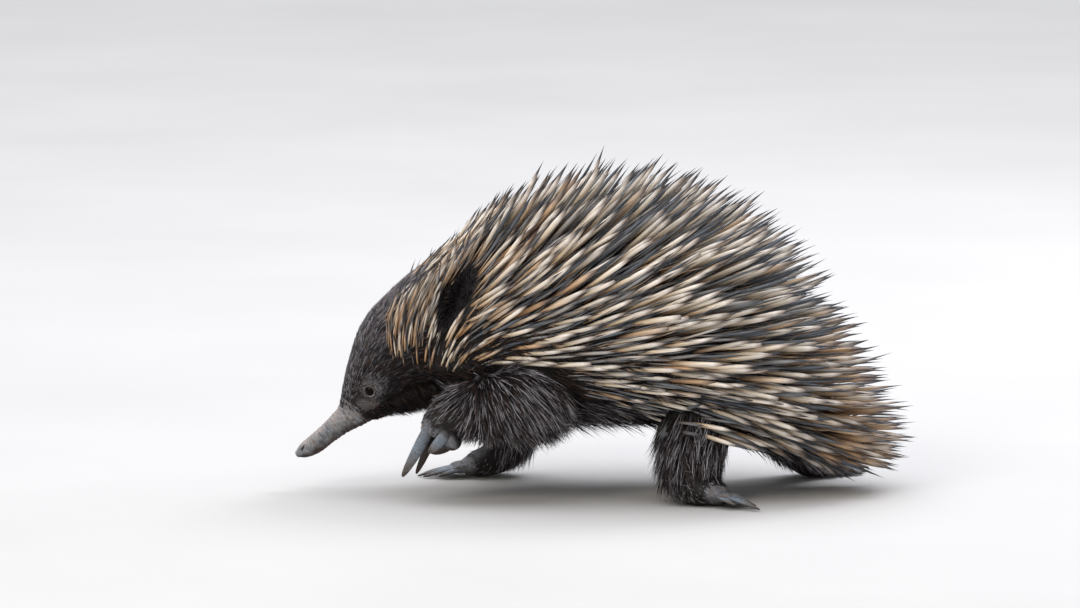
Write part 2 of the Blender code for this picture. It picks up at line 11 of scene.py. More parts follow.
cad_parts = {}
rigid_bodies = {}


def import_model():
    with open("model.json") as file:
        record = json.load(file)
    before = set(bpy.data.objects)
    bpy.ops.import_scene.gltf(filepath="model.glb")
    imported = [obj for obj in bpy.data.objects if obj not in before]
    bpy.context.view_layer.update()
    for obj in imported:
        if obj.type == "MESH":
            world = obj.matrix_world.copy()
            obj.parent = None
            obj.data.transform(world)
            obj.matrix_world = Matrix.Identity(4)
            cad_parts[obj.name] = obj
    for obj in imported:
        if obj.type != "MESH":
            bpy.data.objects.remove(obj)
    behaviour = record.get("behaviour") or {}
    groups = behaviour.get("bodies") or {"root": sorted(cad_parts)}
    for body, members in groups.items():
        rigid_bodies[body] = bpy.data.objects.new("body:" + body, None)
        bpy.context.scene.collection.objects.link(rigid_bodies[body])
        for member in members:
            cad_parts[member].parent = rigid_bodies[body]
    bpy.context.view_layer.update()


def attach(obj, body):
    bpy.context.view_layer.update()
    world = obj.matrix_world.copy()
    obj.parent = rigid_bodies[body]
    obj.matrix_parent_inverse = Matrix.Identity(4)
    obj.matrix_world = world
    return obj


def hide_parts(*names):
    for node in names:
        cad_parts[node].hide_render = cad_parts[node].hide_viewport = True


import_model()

# The hide. The animal's own skin, in one piece from the tip of the beak to the tip of the tail and
# down the four legs: thick, loose and leathery. Only the beak, the rings round the eyes and the feet
# are bare, and everywhere else the coat grows from it.

# Each row is a section seen from the side, in tenths of a millimetre: back x and z, belly x and z,
# half width.
TRUNK_ROWS = np.array((
    (-2113, 264, -2092, 223, 30),  # 0 tip of the beak
    (-2082, 312, -2033, 223, 54), (-2014, 372, -1946, 258, 67), (-1937, 440, -1848, 334, 76),
    (-1868, 512, -1752, 398, 86),
    (-1820, 576, -1648, 450, 105), (-1795, 702, -1578, 486, 150),  # 5 base of the beak
    (-1762, 855, -1510, 522, 200), (-1684, 1098, -1401, 568, 265),  # 7 eyes
    (-1552, 1290, -1278, 605, 340), (-1262, 1546, -1047, 622, 470),  # 9 crown, 10 ears
    (-857, 1727, -789, 580, 660),
    (-313, 1850, -381, 512, 800), (231, 1829, 163, 510, 850), (721, 1598, 639, 435, 800),  # 12 chest
    (1081, 1258, 1061, 322, 640), (1339, 884, 1340, 224, 410),  # 15 rump
    (1537, 612, 1510, 204, 250), (1659, 456, 1632, 197, 150), (1735, 330, 1735, 290, 20),  # 17 tail
)) / 10000
TAIL_END = len(TRUNK_ROWS) - 1.0
LOW_BULGE = 0.12  # how much wider the belly is than the back
TIP_LENGTH = 0.0012  # the rounded end of the beak and of the tail

# Each row of a leg, from inside the body to the toes, in tenths of a millimetre: x, y, z, radius
# front to back, radius across.
LEG_ROWS = {
    "left_fore": (
        (-400, -400, 920, 300, 260), (-540, -620, 740, 260, 220), (-800, -650, 680, 215, 180),
        (-1010, -640, 600, 180, 145), (-1115, -640, 525, 140, 130), (-1135, -640, 455, 100, 105),
    ),
    "right_fore": (
        (-480, 400, 800, 280, 240), (-590, 600, 500, 240, 210), (-660, 640, 270, 180, 180),
        (-740, 640, 140, 140, 165), (-880, 630, 90, 95, 175), (-980, 620, 60, 50, 125),
    ),
    "left_hind": (
        (680, -300, 720, 310, 260), (590, -520, 450, 255, 230), (570, -610, 240, 220, 200),
        (610, -660, 125, 175, 180), (715, -735, 85, 100, 170), (785, -780, 60, 50, 120),
    ),
    "right_hind": (
        (1060, 260, 560, 250, 220), (1220, 440, 370, 210, 200), (1330, 540, 210, 170, 170),
        (1410, 600, 120, 140, 160), (1520, 660, 85, 95, 160), (1590, 700, 60, 50, 110),
    ),
}
LEG_ROWS = {leg_name: np.array(rows) / 10000 for leg_name, rows in LEG_ROWS.items()}
TOES = 5.0  # the row where the toes grow
LIFTED = "left_fore"  # the leg whose paw hangs in the air
SOLE = 0.0006  # the height at which the soles of the others are flat
ACROSS = np.array((0.0, 1.0, 0.0))
MM = 0.001


def unit(v):
    return v / np.maximum(np.linalg.norm(v, axis=-1, keepdims=True), 1e-12)


def share(value):
    """A value held between 0 and 1."""
    return np.clip(value, 0, 1)


def hump(value, middle, width):
    """1 at a middle value, falling to 0 over a width on both sides."""
    return np.exp(-(((value - middle) / width) ** 2))


def go(way, far):
    """Steps of some lengths along directions."""
    return way * np.asarray(far)[..., None]


def row_at(rows, place):
    """The rows at fractional places, by a Catmull-Rom curve."""
    rows, place = np.asarray(rows, float), np.asarray(place, float)
    ends = np.vstack([2 * rows[:1] - rows[1:2], rows, 2 * rows[-1:] - rows[-2:-1]])
    first = np.clip(np.floor(place).astype(int), 0, len(rows) - 2)
    t = share(place - first)[..., None]
    before, a, b, after = ends[first], ends[first + 1], ends[first + 2], ends[first + 3]
    return 0.5 * (
        2 * a
        + (b - before) * t
        + (2 * before - 5 * a + 4 * b - after) * t**2
        + (3 * a - before - 3 * b + after) * t**3
    )


def trunk(place, angle, swell=0.0):
    """The hide of head, body and tail: angle 0 is the back, and positive angles are the right side."""
    place, angle = np.broadcast_arrays(np.asarray(place, float), np.asarray(angle, float))
    row = row_at(TRUNK_ROWS, place)
    flat = np.zeros_like(place)
    back = np.stack([row[..., 0], flat, row[..., 1]], -1)
    belly = np.stack([row[..., 2], flat, row[..., 3]], -1)
    up = unit(back - belly)
    high = np.linalg.norm(back - belly, axis=-1) / 2 + swell
    bulge = LOW_BULGE * share(place - 4.6)
    wide = (row[..., 4] + swell) * (1 - bulge * np.cos(angle))
    past = share(-place) + share(place - TAIL_END)
    closing = np.sqrt(share(1 - past**2))
    ahead = go(np.cross(up, ACROSS), np.where(place < 0, 1.0, -1.0))
    return (
        (back + belly) / 2
        + go(up, high * closing * np.cos(angle))
        + go(ACROSS, wide * closing * np.sin(angle))
        + go(ahead, TIP_LENGTH * past)
    )


def leg(name, place, angle, swell=0.0):
    """The hide of a leg: angle 0 is the front of the leg."""
    place, angle = np.broadcast_arrays(np.asarray(place, float), np.asarray(angle, float))
    rows = LEG_ROWS[name]
    row = row_at(rows, place)
    last = len(rows) - 1
    ahead, behind = [row_at(rows, np.clip(place + step, 0, last))[..., :3] for step in (0.02, -0.02)]
    down = unit(ahead - behind)
    front = unit(np.cross(ACROSS, down))
    past = share(place - last)
    closing = np.sqrt(share(1 - past**2))
    found = (
        row[..., :3]
        + go(front, (row[..., 3] + swell) * closing * np.cos(angle))
        + go(np.cross(down, front), (row[..., 4] + swell) * closing * np.sin(angle))
        + go(down, 0.0035 * past)
    )
    if name != LIFTED:
        found[..., 2] = np.maximum(found[..., 2], SOLE)
    return found


def outward(surface, place, angle):
    """The hide's normal and the way towards the tail or the toes, at places on a surface."""
    along = surface(place + 0.02, angle) - surface(place - 0.02, angle)
    around = surface(place, angle + 0.02) - surface(place, angle - 0.02)
    out = unit(np.cross(along, around))
    swollen = surface(place, angle, MM) - surface(place, angle)
    return go(out, np.where((out * swollen).sum(-1) < 0, -1.0, 1.0)), unit(along)


def ripple(points, size, seed):
    """A smooth uneven value from about -1 to 1 that changes over a size in metres."""
    draw = np.random.default_rng(seed)
    total = 0.0
    for _ in range(7):
        way = draw.normal(size=3)
        way *= draw.uniform(0.6, 1.5) / np.linalg.norm(way)
        total = total + np.sin(points @ way * (2 * math.pi / size) + draw.uniform(0, 6.28))
    return total / 3.0


def hide_depth(place):
    """How far the hide lies inside the coat's outline: nothing on the beak, most on the back."""
    return np.interp(place, (5.0, 6.3, 8.5, 10.5, 19.0), (0.0, 0.0006, 0.0016, 0.0030, 0.0022))


def leg_depth(place):
    return np.interp(place, (0.0, 2.0, 3.0, 4.2, 5.0), (0.0035, 0.0030, 0.0020, 0.0004, 0.0))


class Spot:
    """A place on one side of the head, found by its x and z in the side view between two sections,
    with the axes of the hide there: forward, upward, outward."""

    def __init__(self, x, z, lowest, highest, side, lean=0.0):
        places, angles = np.meshgrid(np.linspace(lowest, highest, 300), np.linspace(-2.9, -0.1, 300))
        found = trunk(places, angles)
        best = np.argmin((found[..., 0] - x) ** 2 + (found[..., 2] - z) ** 2)
        self.place, self.angle = places.ravel()[best], -side * angles.ravel()[best]
        self.point = trunk(self.place, self.angle)
        self.out = outward(trunk, np.array(self.place), np.array(self.angle))[0]
        up = np.array((math.sin(lean), 0.0, math.cos(lean)))
        self.up = unit(up - self.out * (up @ self.out))
        self.ahead = unit(np.cross(self.up, self.out)) * side

    def local(self, points):
        """Distances ahead, upward and outward from the spot."""
        away = points - self.point
        return away @ self.ahead, away @ self.up, away @ self.out

    def at(self, ahead, up, out):
        return self.point + go(self.ahead, ahead) + go(self.up, up) + go(self.out, out)


SIDES = (("left", -1.0), ("right", 1.0))
EYES = [Spot(-0.1607, 0.0703, 6.2, 8.2, side) for _, side in SIDES]
EARS = [Spot(-0.1062, 0.1330, 9.2, 11.6, side, 0.22) for _, side in SIDES]
NOSTRILS = [Spot(-0.2066, 0.0290, 0.2, 2.0, side, 0.42) for _, side in SIDES]
EAR_HALF_WIDTH, EAR_HALF_HEIGHT = 0.0092, 0.0225
EYE_DEEP, EAR_DEEP = 0.012, 0.03  # how far outward or inward skin still belongs to an eye or an ear

# The hide's height round an eye, in mm against the distance from its middle: the socket, the lid's
# foot, a crease, and two folds of the bare ring.
LID_AWAY = (0.0, 2.80, 3.15, 3.4, 3.9, 4.5, 5.0, 5.7, 6.4, 7.2, 8.4, 10.4)
LID_HEIGHT = (-3.6, -3.0, -0.60, 0.30, 0.52, 0.06, -0.10, 0.50, -0.02, 0.36, 0.0, 0.0)


def below_eye(ahead, up):
    """The distance from the loose patch of skin below an eye, 1 at its edge."""
    return np.hypot((ahead - 0.002) / 0.0105, (up + 0.0100) / 0.0060)


def face_relief(points, place, angle):
    """(height, painted shade in the creases from 0 to 1) of the folds of the face and beak over the smooth
    hide.
    """
    # The creases' darkening is painted shade: in the valleys of the loose skin below the eye, the lid's
    # folds and the socket's edge, the ear openings, the nostrils and the mouth line.
    height = np.zeros(len(points))
    crease_shade = np.zeros(len(points))
    for spot in EYES:
        ahead, up, out = spot.local(points)
        turn = np.arctan2(up, ahead)
        away = np.hypot(ahead, up) / MM
        near = (away < 13) & (np.abs(out) < EYE_DEEP)
        wobble = 1 + 0.09 * np.sin(3 * turn + 1) + 0.06 * np.sin(7 * turn) + 0.07 * ripple(points, 0.004, 9)
        corners = 1 + 0.13 * np.cos(2 * (turn + 2.6)) - 0.10 * hump(turn, 1.5, 0.6)
        shape = np.where(away < 4.5, 1.0, 1 + (corners * wobble - 1) * share((11 - away) / 6))
        lids = np.interp(away / shape, LID_AWAY, LID_HEIGHT)
        fan = np.sin(17 * turn + 3.0 * np.sin(3 * turn) + away) * hump(away, 6.4, 2.2)
        fan = 0.20 * fan + 0.26 * ripple(points, 0.0022, 10) * hump(away, 6.8, 2.4)
        loose = share((1.3 - below_eye(ahead, up)) * 2) * near
        wrinkled = np.abs(ripple(points * np.array((1.0, 1.0, 2.2)), 0.0040, 12))
        height += (0.55 * MM) * loose * wrinkled
        crease_shade = np.maximum(crease_shade, 0.95 * loose * share(1 - wrinkled / 0.20))
        height += np.where(near, (lids + fan) * MM, 0.0)
        deep = share((0.42 - lids) / 0.5) * share((8.5 - away) / 2) * (away > 3.8)
        crease_shade = np.maximum(crease_shade, np.where(near, np.maximum(deep, (away < 3.05) * 1.0), 0.0))
    for spot in EARS:
        ahead, up, out = spot.local(points)
        away = np.hypot(ahead / EAR_HALF_WIDTH, up / EAR_HALF_HEIGHT)
        near = (away < 2) & (np.abs(out) < EAR_DEEP)
        cup = np.interp(away, (0.0, 0.45, 0.72, 0.95, 1.15, 1.5), (-7.0, -6.0, -2.0, 1.4, 0.7, 0.0))
        height += np.where(near, cup * MM, 0.0)
        crease_shade = np.maximum(crease_shade, np.where(near, share((1.25 - away) / 0.3), 0.0))
    for spot in NOSTRILS:
        ahead, up, out = spot.local(points)
        away = np.hypot(ahead / 0.00065, up / 0.0017)
        near = (away < 5) & (np.abs(out) < 0.004)
        slit = -0.9 * np.exp(-(away**2)) + 0.16 * hump(away, 2.1, 0.7)
        height += np.where(near, slit * MM, 0.0)
        crease_shade = np.maximum(crease_shade, np.where(near, share(1.75 - away), 0.0))
    mouth = hump(np.abs(angle), 2.28, 0.10) * share((1.55 - place) / 0.4)
    height -= 0.45 * MM * mouth * share((place + 0.8) / 0.5)
    crease_shade = np.maximum(crease_shade, 0.9 * mouth)
    # The loose skin of the beak lies in shallow rings, deeper towards the face.
    reach = points @ np.array((0.66, 0.0, 0.75))
    rings = np.sin(reach * (2 * math.pi / 0.0031) + 2.2 * ripple(points, 0.014, 5))
    strength = np.interp(place, (0.3, 2.0, 3.4, 5.4, 7.0, 8.2), (0.02, 0.07, 0.16, 0.24, 0.10, 0.0))
    height += MM * strength * (rings + 0.8 * ripple(points, 0.0024, 6))
    return height, crease_shade


def closed_sheet(places, angles, surface):
    """Points and four-cornered faces of a tube that closes at both ends."""
    rows, columns = len(places), len(angles)
    points = surface(*np.meshgrid(places, angles, indexing="ij")).reshape(-1, 3)
    a = np.arange(columns)
    b = (a + 1) % columns
    i = columns * np.arange(rows - 1)[:, None]
    faces = np.stack([i + a, i + b, i + b + columns, i + a + columns], -1).reshape(-1, 4)
    inside_out = np.linalg.det(points[faces[:, :3]] - points.mean(0)).sum() < 0
    end, last = len(points), (rows - 1) * columns
    faces = faces.tolist() + [(end, q, p) for p, q in zip(a, b)]
    faces += [(end + 1, last + p, last + q) for p, q in zip(a, b)]
    points = np.vstack([points, points[:columns].mean(0), points[-columns:].mean(0)])
    return points, [f[::-1] for f in faces] if inside_out else faces


def whole(name, points, faces):
    mesh = bpy.data.meshes.new(name)
    mesh.from_pydata(points.tolist(), [], faces)
    made = bpy.data.objects.new(name, mesh)
    bpy.context.scene.collection.objects.link(made)
    return made


def mark(mesh, name, values):
    """Gives each point of a mesh one value, or four, that its colour follows."""
    kind, field = ("FLOAT", "value") if values.ndim == 1 else ("FLOAT_COLOR", "color")
    mesh.attributes.new(name, kind, "POINT").data.foreach_set(field, values.astype(np.float32).ravel())


# The sections stand closest together on the face, and so do the points round them by the eyes.
trunk_places = [np.sin(np.linspace(-math.pi / 2, 0, 8))[1:]]
for start, end, count in (
    (0, 1.4, 44), (1.4, 5.0, 84), (5.0, 6.2, 36), (6.2, 7.9, 84), (7.9, 11.4, 76), (11.4, TAIL_END, 84),
):
    trunk_places.append(np.linspace(start, end, count)[1:])
trunk_places = np.concatenate([*trunk_places, TAIL_END + np.sin(np.linspace(0, math.pi / 2, 6))[1:-1]])
round_body = np.linspace(-math.pi, math.pi, 4000)
density = 1 + 2.0 * hump(np.abs(round_body), abs(EYES[0].angle), 0.30)
total = np.append(0, np.cumsum((density[1:] + density[:-1]) / 2))
trunk_angles = np.interp(np.linspace(0, total[-1], 215)[:-1], total, round_body)


def folded_trunk(place, angle):
    smooth = trunk(place, angle, -hide_depth(place))
    out = outward(trunk, np.clip(place, 0.03, TAIL_END - 0.03), angle)[0]
    height, _ = face_relief(smooth.reshape(-1, 3), place.ravel(), angle.ravel())
    return smooth + go(out, height.reshape(place.shape))


hide = whole("hide", *closed_sheet(trunk_places, trunk_angles, folded_trunk))
limbs = bpy.data.collections.new("limbs")
bpy.context.scene.collection.children.link(limbs)


def add_limb(places, angles, surface):
    made = whole("limb", *closed_sheet(places, angles, surface))
    bpy.context.scene.collection.objects.unlink(made)
    limbs.objects.link(made)


leg_places = np.concatenate([np.linspace(0.1, TOES, 56), TOES + np.sin(np.linspace(0, 1.5, 6))[1:]])
for leg_name in LEG_ROWS:
    add_limb(leg_places, np.linspace(-math.pi, math.pi, 41)[:-1],
             lambda p, a: leg(leg_name, p, a, -leg_depth(p)))

# Each toe is a blunt fleshy knuckle with a claw sunk in its end. On a foot that stands they fan out
# from its end: place across the foot from -1 to 1, and length of the claw.
FORE_TOES = ((-0.9, 0.016), (-0.45, 0.026), (0.0, 0.029), (0.45, 0.025), (0.9, 0.015))
HIND_TOES = ((-0.9, 0.012), (-0.45, 0.018), (0.0, 0.022), (0.45, 0.030), (0.9, 0.014))
# The lifted paw hangs with its claws side by side: root, the way it points, its reach, its thickness.
HANGING_TOES = (
    ((-0.1195, -0.0680, 0.0540), (-0.450, -0.04, -0.892), 0.0428, 1.30),
    ((-0.1098, -0.0735, 0.0475), (-0.66, -0.04, -0.75), 0.0185, 1.20),
    ((-0.1040, -0.0725, 0.0425), (-0.93, -0.04, -0.36), 0.0045, 1.70),
    ((-0.1165, -0.0600, 0.0485), (-0.37, 0.05, -0.93), 0.0350, 0.95),
    ((-0.1060, -0.0600, 0.0430), (-0.86, 0.10, -0.50), 0.0150, 1.30),
)
PALM = np.array((-0.1105, -0.0665, 0.0392))  # the middle of the lifted paw's pad
PALM_AHEAD = np.array((-0.93, -0.02, -0.37))


def toes_of(name):
    """For each toe of a foot: its root, the way it points, the way across, its reach and thickness."""
    if name == LIFTED:
        for root, ahead, reach, thick in HANGING_TOES:
            ahead = unit(np.array(ahead))
            yield np.array(root), ahead, unit(np.cross((-0.25, 1.0, 0.1), ahead)), reach, thick
        return
    row, after, before = [row_at(LEG_ROWS[name], TOES - back) for back in (0.35, 0.33, 0.37)]
    down = unit((after - before)[:3])
    side = np.cross(down, unit(np.cross(ACROSS, down)))
    for spread, length in FORE_TOES if "fore" in name else HIND_TOES:
        spread = -spread if name.startswith("left") else spread
        ahead = unit(unit(np.array((down[0], down[1], -0.10))) + side * 0.22 * spread)
        yield row[:3] + side * 0.80 * row[4] * spread, ahead, side, length + row[3], 1.0


def add_lump(middle, axes, halves, lowest):
    """A round fleshy lump, flat where it would pass below a height."""

    def lump(p, a):
        found = (
            middle
            + go(axes[0], halves[0] * np.cos(p))
            + go(axes[1], halves[1] * np.sin(p) * np.cos(a))
            + go(axes[2], halves[2] * np.sin(p) * np.sin(a))
        )
        found[..., 2] = np.maximum(found[..., 2], lowest)
        return found

    add_limb(np.linspace(0.06, math.pi - 0.06, 12), np.linspace(-math.pi, math.pi, 17)[:-1], lump)


for leg_name in LEG_ROWS:
    sunk, half, lowest = (-0.0005, 0.0062, 0.0) if leg_name == LIFTED else (0.0042, 0.0078, SOLE)
    for root, ahead, side, _, thick in toes_of(leg_name):
        add_lump(root + ahead * sunk, (-ahead, side, np.cross(side, ahead)),
                 (half, 0.0033 * thick, 0.0034 * thick), lowest)
palm_across = unit(np.cross(PALM_AHEAD, ACROSS))
add_lump(PALM, (-PALM_AHEAD, np.cross(palm_across, PALM_AHEAD), palm_across), (0.0098, 0.0058, 0.0050), 0.0)

join = hide.modifiers.new("join", "BOOLEAN")
join.operation, join.operand_type, join.solver = "UNION", "COLLECTION", "MANIFOLD"
join.collection = limbs
bpy.context.view_layer.update()
joined = bpy.data.meshes.new_from_object(hide.evaluated_get(bpy.context.evaluated_depsgraph_get()))
hide.modifiers.clear()
hide.data = joined
for limb in list(limbs.objects):
    bpy.data.objects.remove(limb)
bpy.data.collections.remove(limbs)
joined.shade_smooth()

hide_points = np.empty(len(joined.vertices) * 3)
joined.vertices.foreach_get("co", hide_points)
hide_points = hide_points.reshape(-1, 3)
hide_tree = BVHTree.FromPolygons(hide_points.tolist(), [tuple(f.vertices) for f in joined.polygons])


SEEK = 0.02  # how far outside the hide a line towards it starts


def onto_hide(point, out):
    """Where the line towards the hide meets it: (place or None, normal, face, distance)."""
    return hide_tree.ray_cast(Vector(point + out * SEEK), Vector(-out), 2.5 * SEEK)


def outside(points):
    """How far each point lies outside the hide: negative inside."""
    points = [Vector(p) for p in points]
    found = [hide_tree.find_nearest(p) for p in points]
    return np.array([(p - place).dot(normal) for p, (place, normal, _, _) in zip(points, found)])


# What the bare hide's colour follows: painted shade under the fur and in the creases, the dark underside,
# partly its own brown and partly painted shade, and the pale ridge, partly its own tone and partly painted
# highlight.
grid_place, grid_angle = [
    g.ravel() for g in np.meshgrid(np.linspace(0, TAIL_END, 420), np.linspace(-math.pi, math.pi, 120))
]
grid = KDTree(len(grid_place))
for number, point in enumerate(trunk(grid_place, grid_angle, -hide_depth(grid_place))):
    grid.insert(point, number)
grid.balance()
nearest = np.array([grid.find(point)[1] for point in hide_points])
hide_place, hide_turn = grid_place[nearest], np.abs(grid_angle[nearest])
# Painted shade: where the fur grows, the hide is painted near black as the shade among its roots.
edge = 5.55 - 0.45 * share(np.cos(hide_turn))
shade_under_fur = share((hide_place + 0.25 * ripple(hide_points, 0.005, 8) - edge) / 0.45)
turned = hide_turn + 0.22 * ripple(hide_points, 0.009, 7)
# Darker brown beneath: partly the skin's own brown and partly painted shade.
brown_tone_and_shade = share((turned - 1.85) / 0.55) * share((8.0 - hide_place) / 1.5)
# Paler along the top of the face and beak: partly its own pale tone and partly painted highlight.
tone_and_highlight = share((1.15 - turned) / 0.7) * share((5.9 - hide_place) / 0.8)
bare, shadow, painted_rim_glint, bare_cheek, foot_bare = np.zeros((5, len(hide_points)))
for spot in EYES:
    ahead, up, out = spot.local(hide_points)
    near = np.abs(out) < EYE_DEEP
    ragged = np.hypot(ahead / MM + 1.2, up / MM - 1.2) + 1.2 * ripple(hide_points, 0.005, 3)
    bare = np.maximum(bare, near * 0.92 * share((8.2 - ragged) / 2.2))
    cheek = below_eye(ahead, up) + 0.22 * ripple(hide_points, 0.004, 4)
    patch = near * 0.80 * share((1.15 - cheek) * 1.5)
    shadow = np.maximum(shadow, np.where(patch > bare, 0.52, 0.34) * (np.maximum(bare, patch) > 0.05))
    # A painted highlight: a pale crescent round the lower and back side of each eye's opening.
    rim = hump(np.hypot(ahead, up) / MM, 3.7, 0.55) * share(np.cos(np.arctan2(up, ahead) + 2.2))
    painted_rim_glint = np.maximum(painted_rim_glint, near * rim)
    bare_cheek = np.maximum(bare_cheek, patch)
    bare = np.maximum(bare, patch)
relief, crease_shade = face_relief(hide_points, hide_place, hide_turn)
crease_shade[hide_place >= 12] = 0
face_bare = bare * (hide_place > 5.6)
# Painted highlight on the raised tops of the bare ring's folds.
tone_and_highlight = np.maximum(tone_and_highlight, face_bare * share((relief / MM - 0.10) / 0.35) * share(1.6 - 2 * shadow))
tone_and_highlight = np.maximum(tone_and_highlight, painted_rim_glint)
mottled = share(0.55 + 0.9 * ripple(hide_points, 0.0026, 13))
beak_root = hump(hide_place, 4.95, 0.55) * (hide_turn < 2.2)
tone_and_highlight = np.maximum(tone_and_highlight, 0.75 * beak_root * mottled)
on_cheek = (bare_cheek > 0.2) & (hide_turn < 2.4)
tone_and_highlight = np.where(on_cheek, np.maximum(tone_and_highlight, 0.45 * bare_cheek * mottled), tone_and_highlight)
brown_tone_and_shade = np.where(hide_place > 5.6, np.maximum(brown_tone_and_shade * (1 - face_bare), shadow * (1 - painted_rim_glint)), brown_tone_and_shade)
for leg_name in LEG_ROWS:
    for root, ahead, *_ in toes_of(leg_name):
        away = hide_points - root
        along = away @ ahead
        aside = np.linalg.norm(away - go(ahead, along), axis=1)
        foot_bare = np.maximum(foot_bare, (aside < 0.0070) * share(along / 0.003 + 1.2))
brown_tone_and_shade = np.maximum(brown_tone_and_shade, 0.22 * foot_bare)
# The pad's underside is painted dark brown: partly its own brown and partly painted shade.
from_palm = hide_points - PALM
beneath = (from_palm * np.array((-0.37, 0.0, 0.93))).sum(-1)
near_palm = np.linalg.norm(from_palm, axis=1) < 0.0125
foot_bare = np.maximum(foot_bare, near_palm * (beneath < 0.004))
brown_tone_and_shade = np.where(near_palm, np.maximum(brown_tone_and_shade, 0.95 * share((0.0015 - beneath) / 0.003)), brown_tone_and_shade)
shade_under_fur = share(shade_under_fur * (1 - bare) * (1 - foot_bare))
mark(joined, "hide_paint", np.stack([shade_under_fur, crease_shade, brown_tone_and_shade, tone_and_highlight], -1))


def linear(colour):
    """An sRGB hex colour as the linear values that a shader takes."""
    parts = [int(colour[i : i + 2], 16) / 255 for i in (1, 3, 5)]
    return (*[p / 12.92 if p <= 0.04045 else ((p + 0.055) / 1.055) ** 2.4 for p in parts], 1.0)


def put(surface, node, inputs):
    """Sets the inputs of a surface's node to values, or links them to the outputs of others."""
    for name, value in inputs.items():
        if isinstance(value, bpy.types.NodeSocket):
            surface.node_tree.links.new(value, node.inputs[name])
        else:
            node.inputs[name].default_value = value


def feed(surface, **inputs):
    """Sets or links the inputs of a surface's own shader."""
    shader = surface.node_tree.nodes["Principled BSDF"]
    put(surface, shader, {name.replace("_", " "): value for name, value in inputs.items()})


def finish(name, **values):
    """A new surface whose shader starts from these values."""
    made = bpy.data.materials.new(name)
    made.use_nodes = True
    feed(made, **values)
    return made


def lay(surface, kind, inputs={}, out=0, stops=(), **settings):
    """Adds one node to a surface with its settings, values and links, and returns its output."""
    made = surface.node_tree.nodes.new("ShaderNode" + kind)
    for name, value in settings.items():
        setattr(made, name, value)
    put(surface, made, inputs)
    if stops:
        ramp = made.color_ramp
        while len(ramp.elements) < len(stops):
            ramp.elements.new(0.5)
        for element, (place, colour) in zip(ramp.elements, stops):
            element.position, element.color = place, linear(colour)
    return [made.outputs[name] for name in out] if isinstance(out, tuple) else made.outputs[out]


COVER = {"out": 2, "data_type": "RGBA"}  # one colour (7) covers another (6) by a share (0)
DARKEN = {**COVER, "blend_type": "MULTIPLY"}  # a pattern (7) darkens or lights a colour (6)

# Bare leathery skin: dry, grey with a brown underside that is partly painted shade, dull, with a fine grain
# and small folds.
skin = finish("bare_skin", Roughness=0.55, IOR=1.45, Specular_IOR_Level=0.42)
on_hide = lay(skin, "TexCoord", out="Object")
painted, ridge = lay(skin, "Attribute", out=("Color", "Alpha"), attribute_name="hide_paint")
fur_shade, fold_shade, beneath = lay(skin, "SeparateColor", {"Color": painted}, ("Red", "Green", "Blue"))
# Blotches are about 5 mm across, and the grain's cells about 0.8 mm, painted darker at their edges as
# shade in the hollows between them.
blotch = lay(skin, "TexNoise", {"Vector": on_hide, "Scale": 190.0, "Detail": 4.0, "Roughness": 0.6})
blotch_tones = lay(skin, "ValToRGB", {"Fac": blotch},
                   stops=((0.30, "#767a80"), (0.43, "#888d94"), (0.55, "#999ca1"), (0.68, "#9c9087")))
grain = lay(skin, "TexVoronoi", {"Vector": on_hide, "Scale": 1250.0, "Randomness": 0.9},
            feature="SMOOTH_F1")
grain_edge_shade = lay(skin, "ValToRGB", {"Fac": grain},
                  stops=((0.10, "#ffffff"), (0.45, "#c4c2c0"), (0.80, "#5f5a58")))
toned = lay(skin, "Mix", {0: 0.52, 6: blotch_tones, 7: grain_edge_shade}, **DARKEN)
# Cracks about 2 mm apart run across the beak, which points down and forward, painted darker as shade
# in their hollows.
along_beak = lay(skin, "Mapping", {"Vector": on_hide, "Rotation": (0.0, -0.75, 0.0)})
stretched = lay(skin, "VectorMath", {0: along_beak, 1: (120.0, 120.0, 480.0)}, operation="MULTIPLY")
cracks = lay(skin, "TexNoise",
             {"Vector": stretched, "Scale": 1.0, "Detail": 4.0, "Roughness": 0.65, "Distortion": 0.8})
crack_shade = lay(skin, "ValToRGB", {"Fac": cracks},
                  stops=((0.34, "#4a4341"), (0.42, "#a9a29e"), (0.50, "#e9e6e3"), (0.66, "#ffffff")))
toned = lay(skin, "Mix", {0: 0.6, 6: toned, 7: crack_shade}, **DARKEN)
speckle = lay(skin, "TexNoise", {"Vector": on_hide, "Scale": 1050.0, "Detail": 3.0, "Roughness": 0.7})
speckle_tones = lay(skin, "ValToRGB", {"Fac": speckle},
                    stops=((0.34, "#5c5350"), (0.46, "#cbc6c3"), (0.60, "#ffffff")))
toned = lay(skin, "Mix", {0: 0.42, 6: toned, 7: speckle_tones}, **DARKEN)
# Pale along the ridge, partly its own tone and partly painted highlight; brown beneath, partly its own
# brown and partly painted shade; almost black in the creases and below the fur, which is painted shade.
ridge = lay(skin, "MapRange", {"Value": ridge, "To Max": 0.56})
for covered, colour in (
    (ridge, "#a99d96"), (beneath, "#33211a"), (fold_shade, "#15100f"), (fur_shade, "#120d0b"),
):
    toned = lay(skin, "Mix", {0: covered, 6: toned, 7: linear(colour)}, **COVER)
dull = lay(skin, "MapRange",
           {"Value": blotch, "From Min": 0.3, "From Max": 0.7, "To Min": 0.46, "To Max": 0.70})
wrinkle = lay(skin, "TexNoise",
              {"Vector": on_hide, "Scale": 620.0, "Detail": 5.0, "Roughness": 0.65, "Distortion": 0.6})
bumpy = lay(skin, "Bump", {"Height": grain, "Strength": 0.55, "Distance": 0.00018}, invert=True)
bumpy = lay(skin, "Bump", {"Height": wrinkle, "Normal": bumpy, "Strength": 0.6, "Distance": 0.0004})
bumpy = lay(skin, "Bump", {"Height": cracks, "Normal": bumpy, "Strength": 0.8, "Distance": 0.0008})
feed(skin, Base_Color=toned, Roughness=dull, Normal=bumpy)

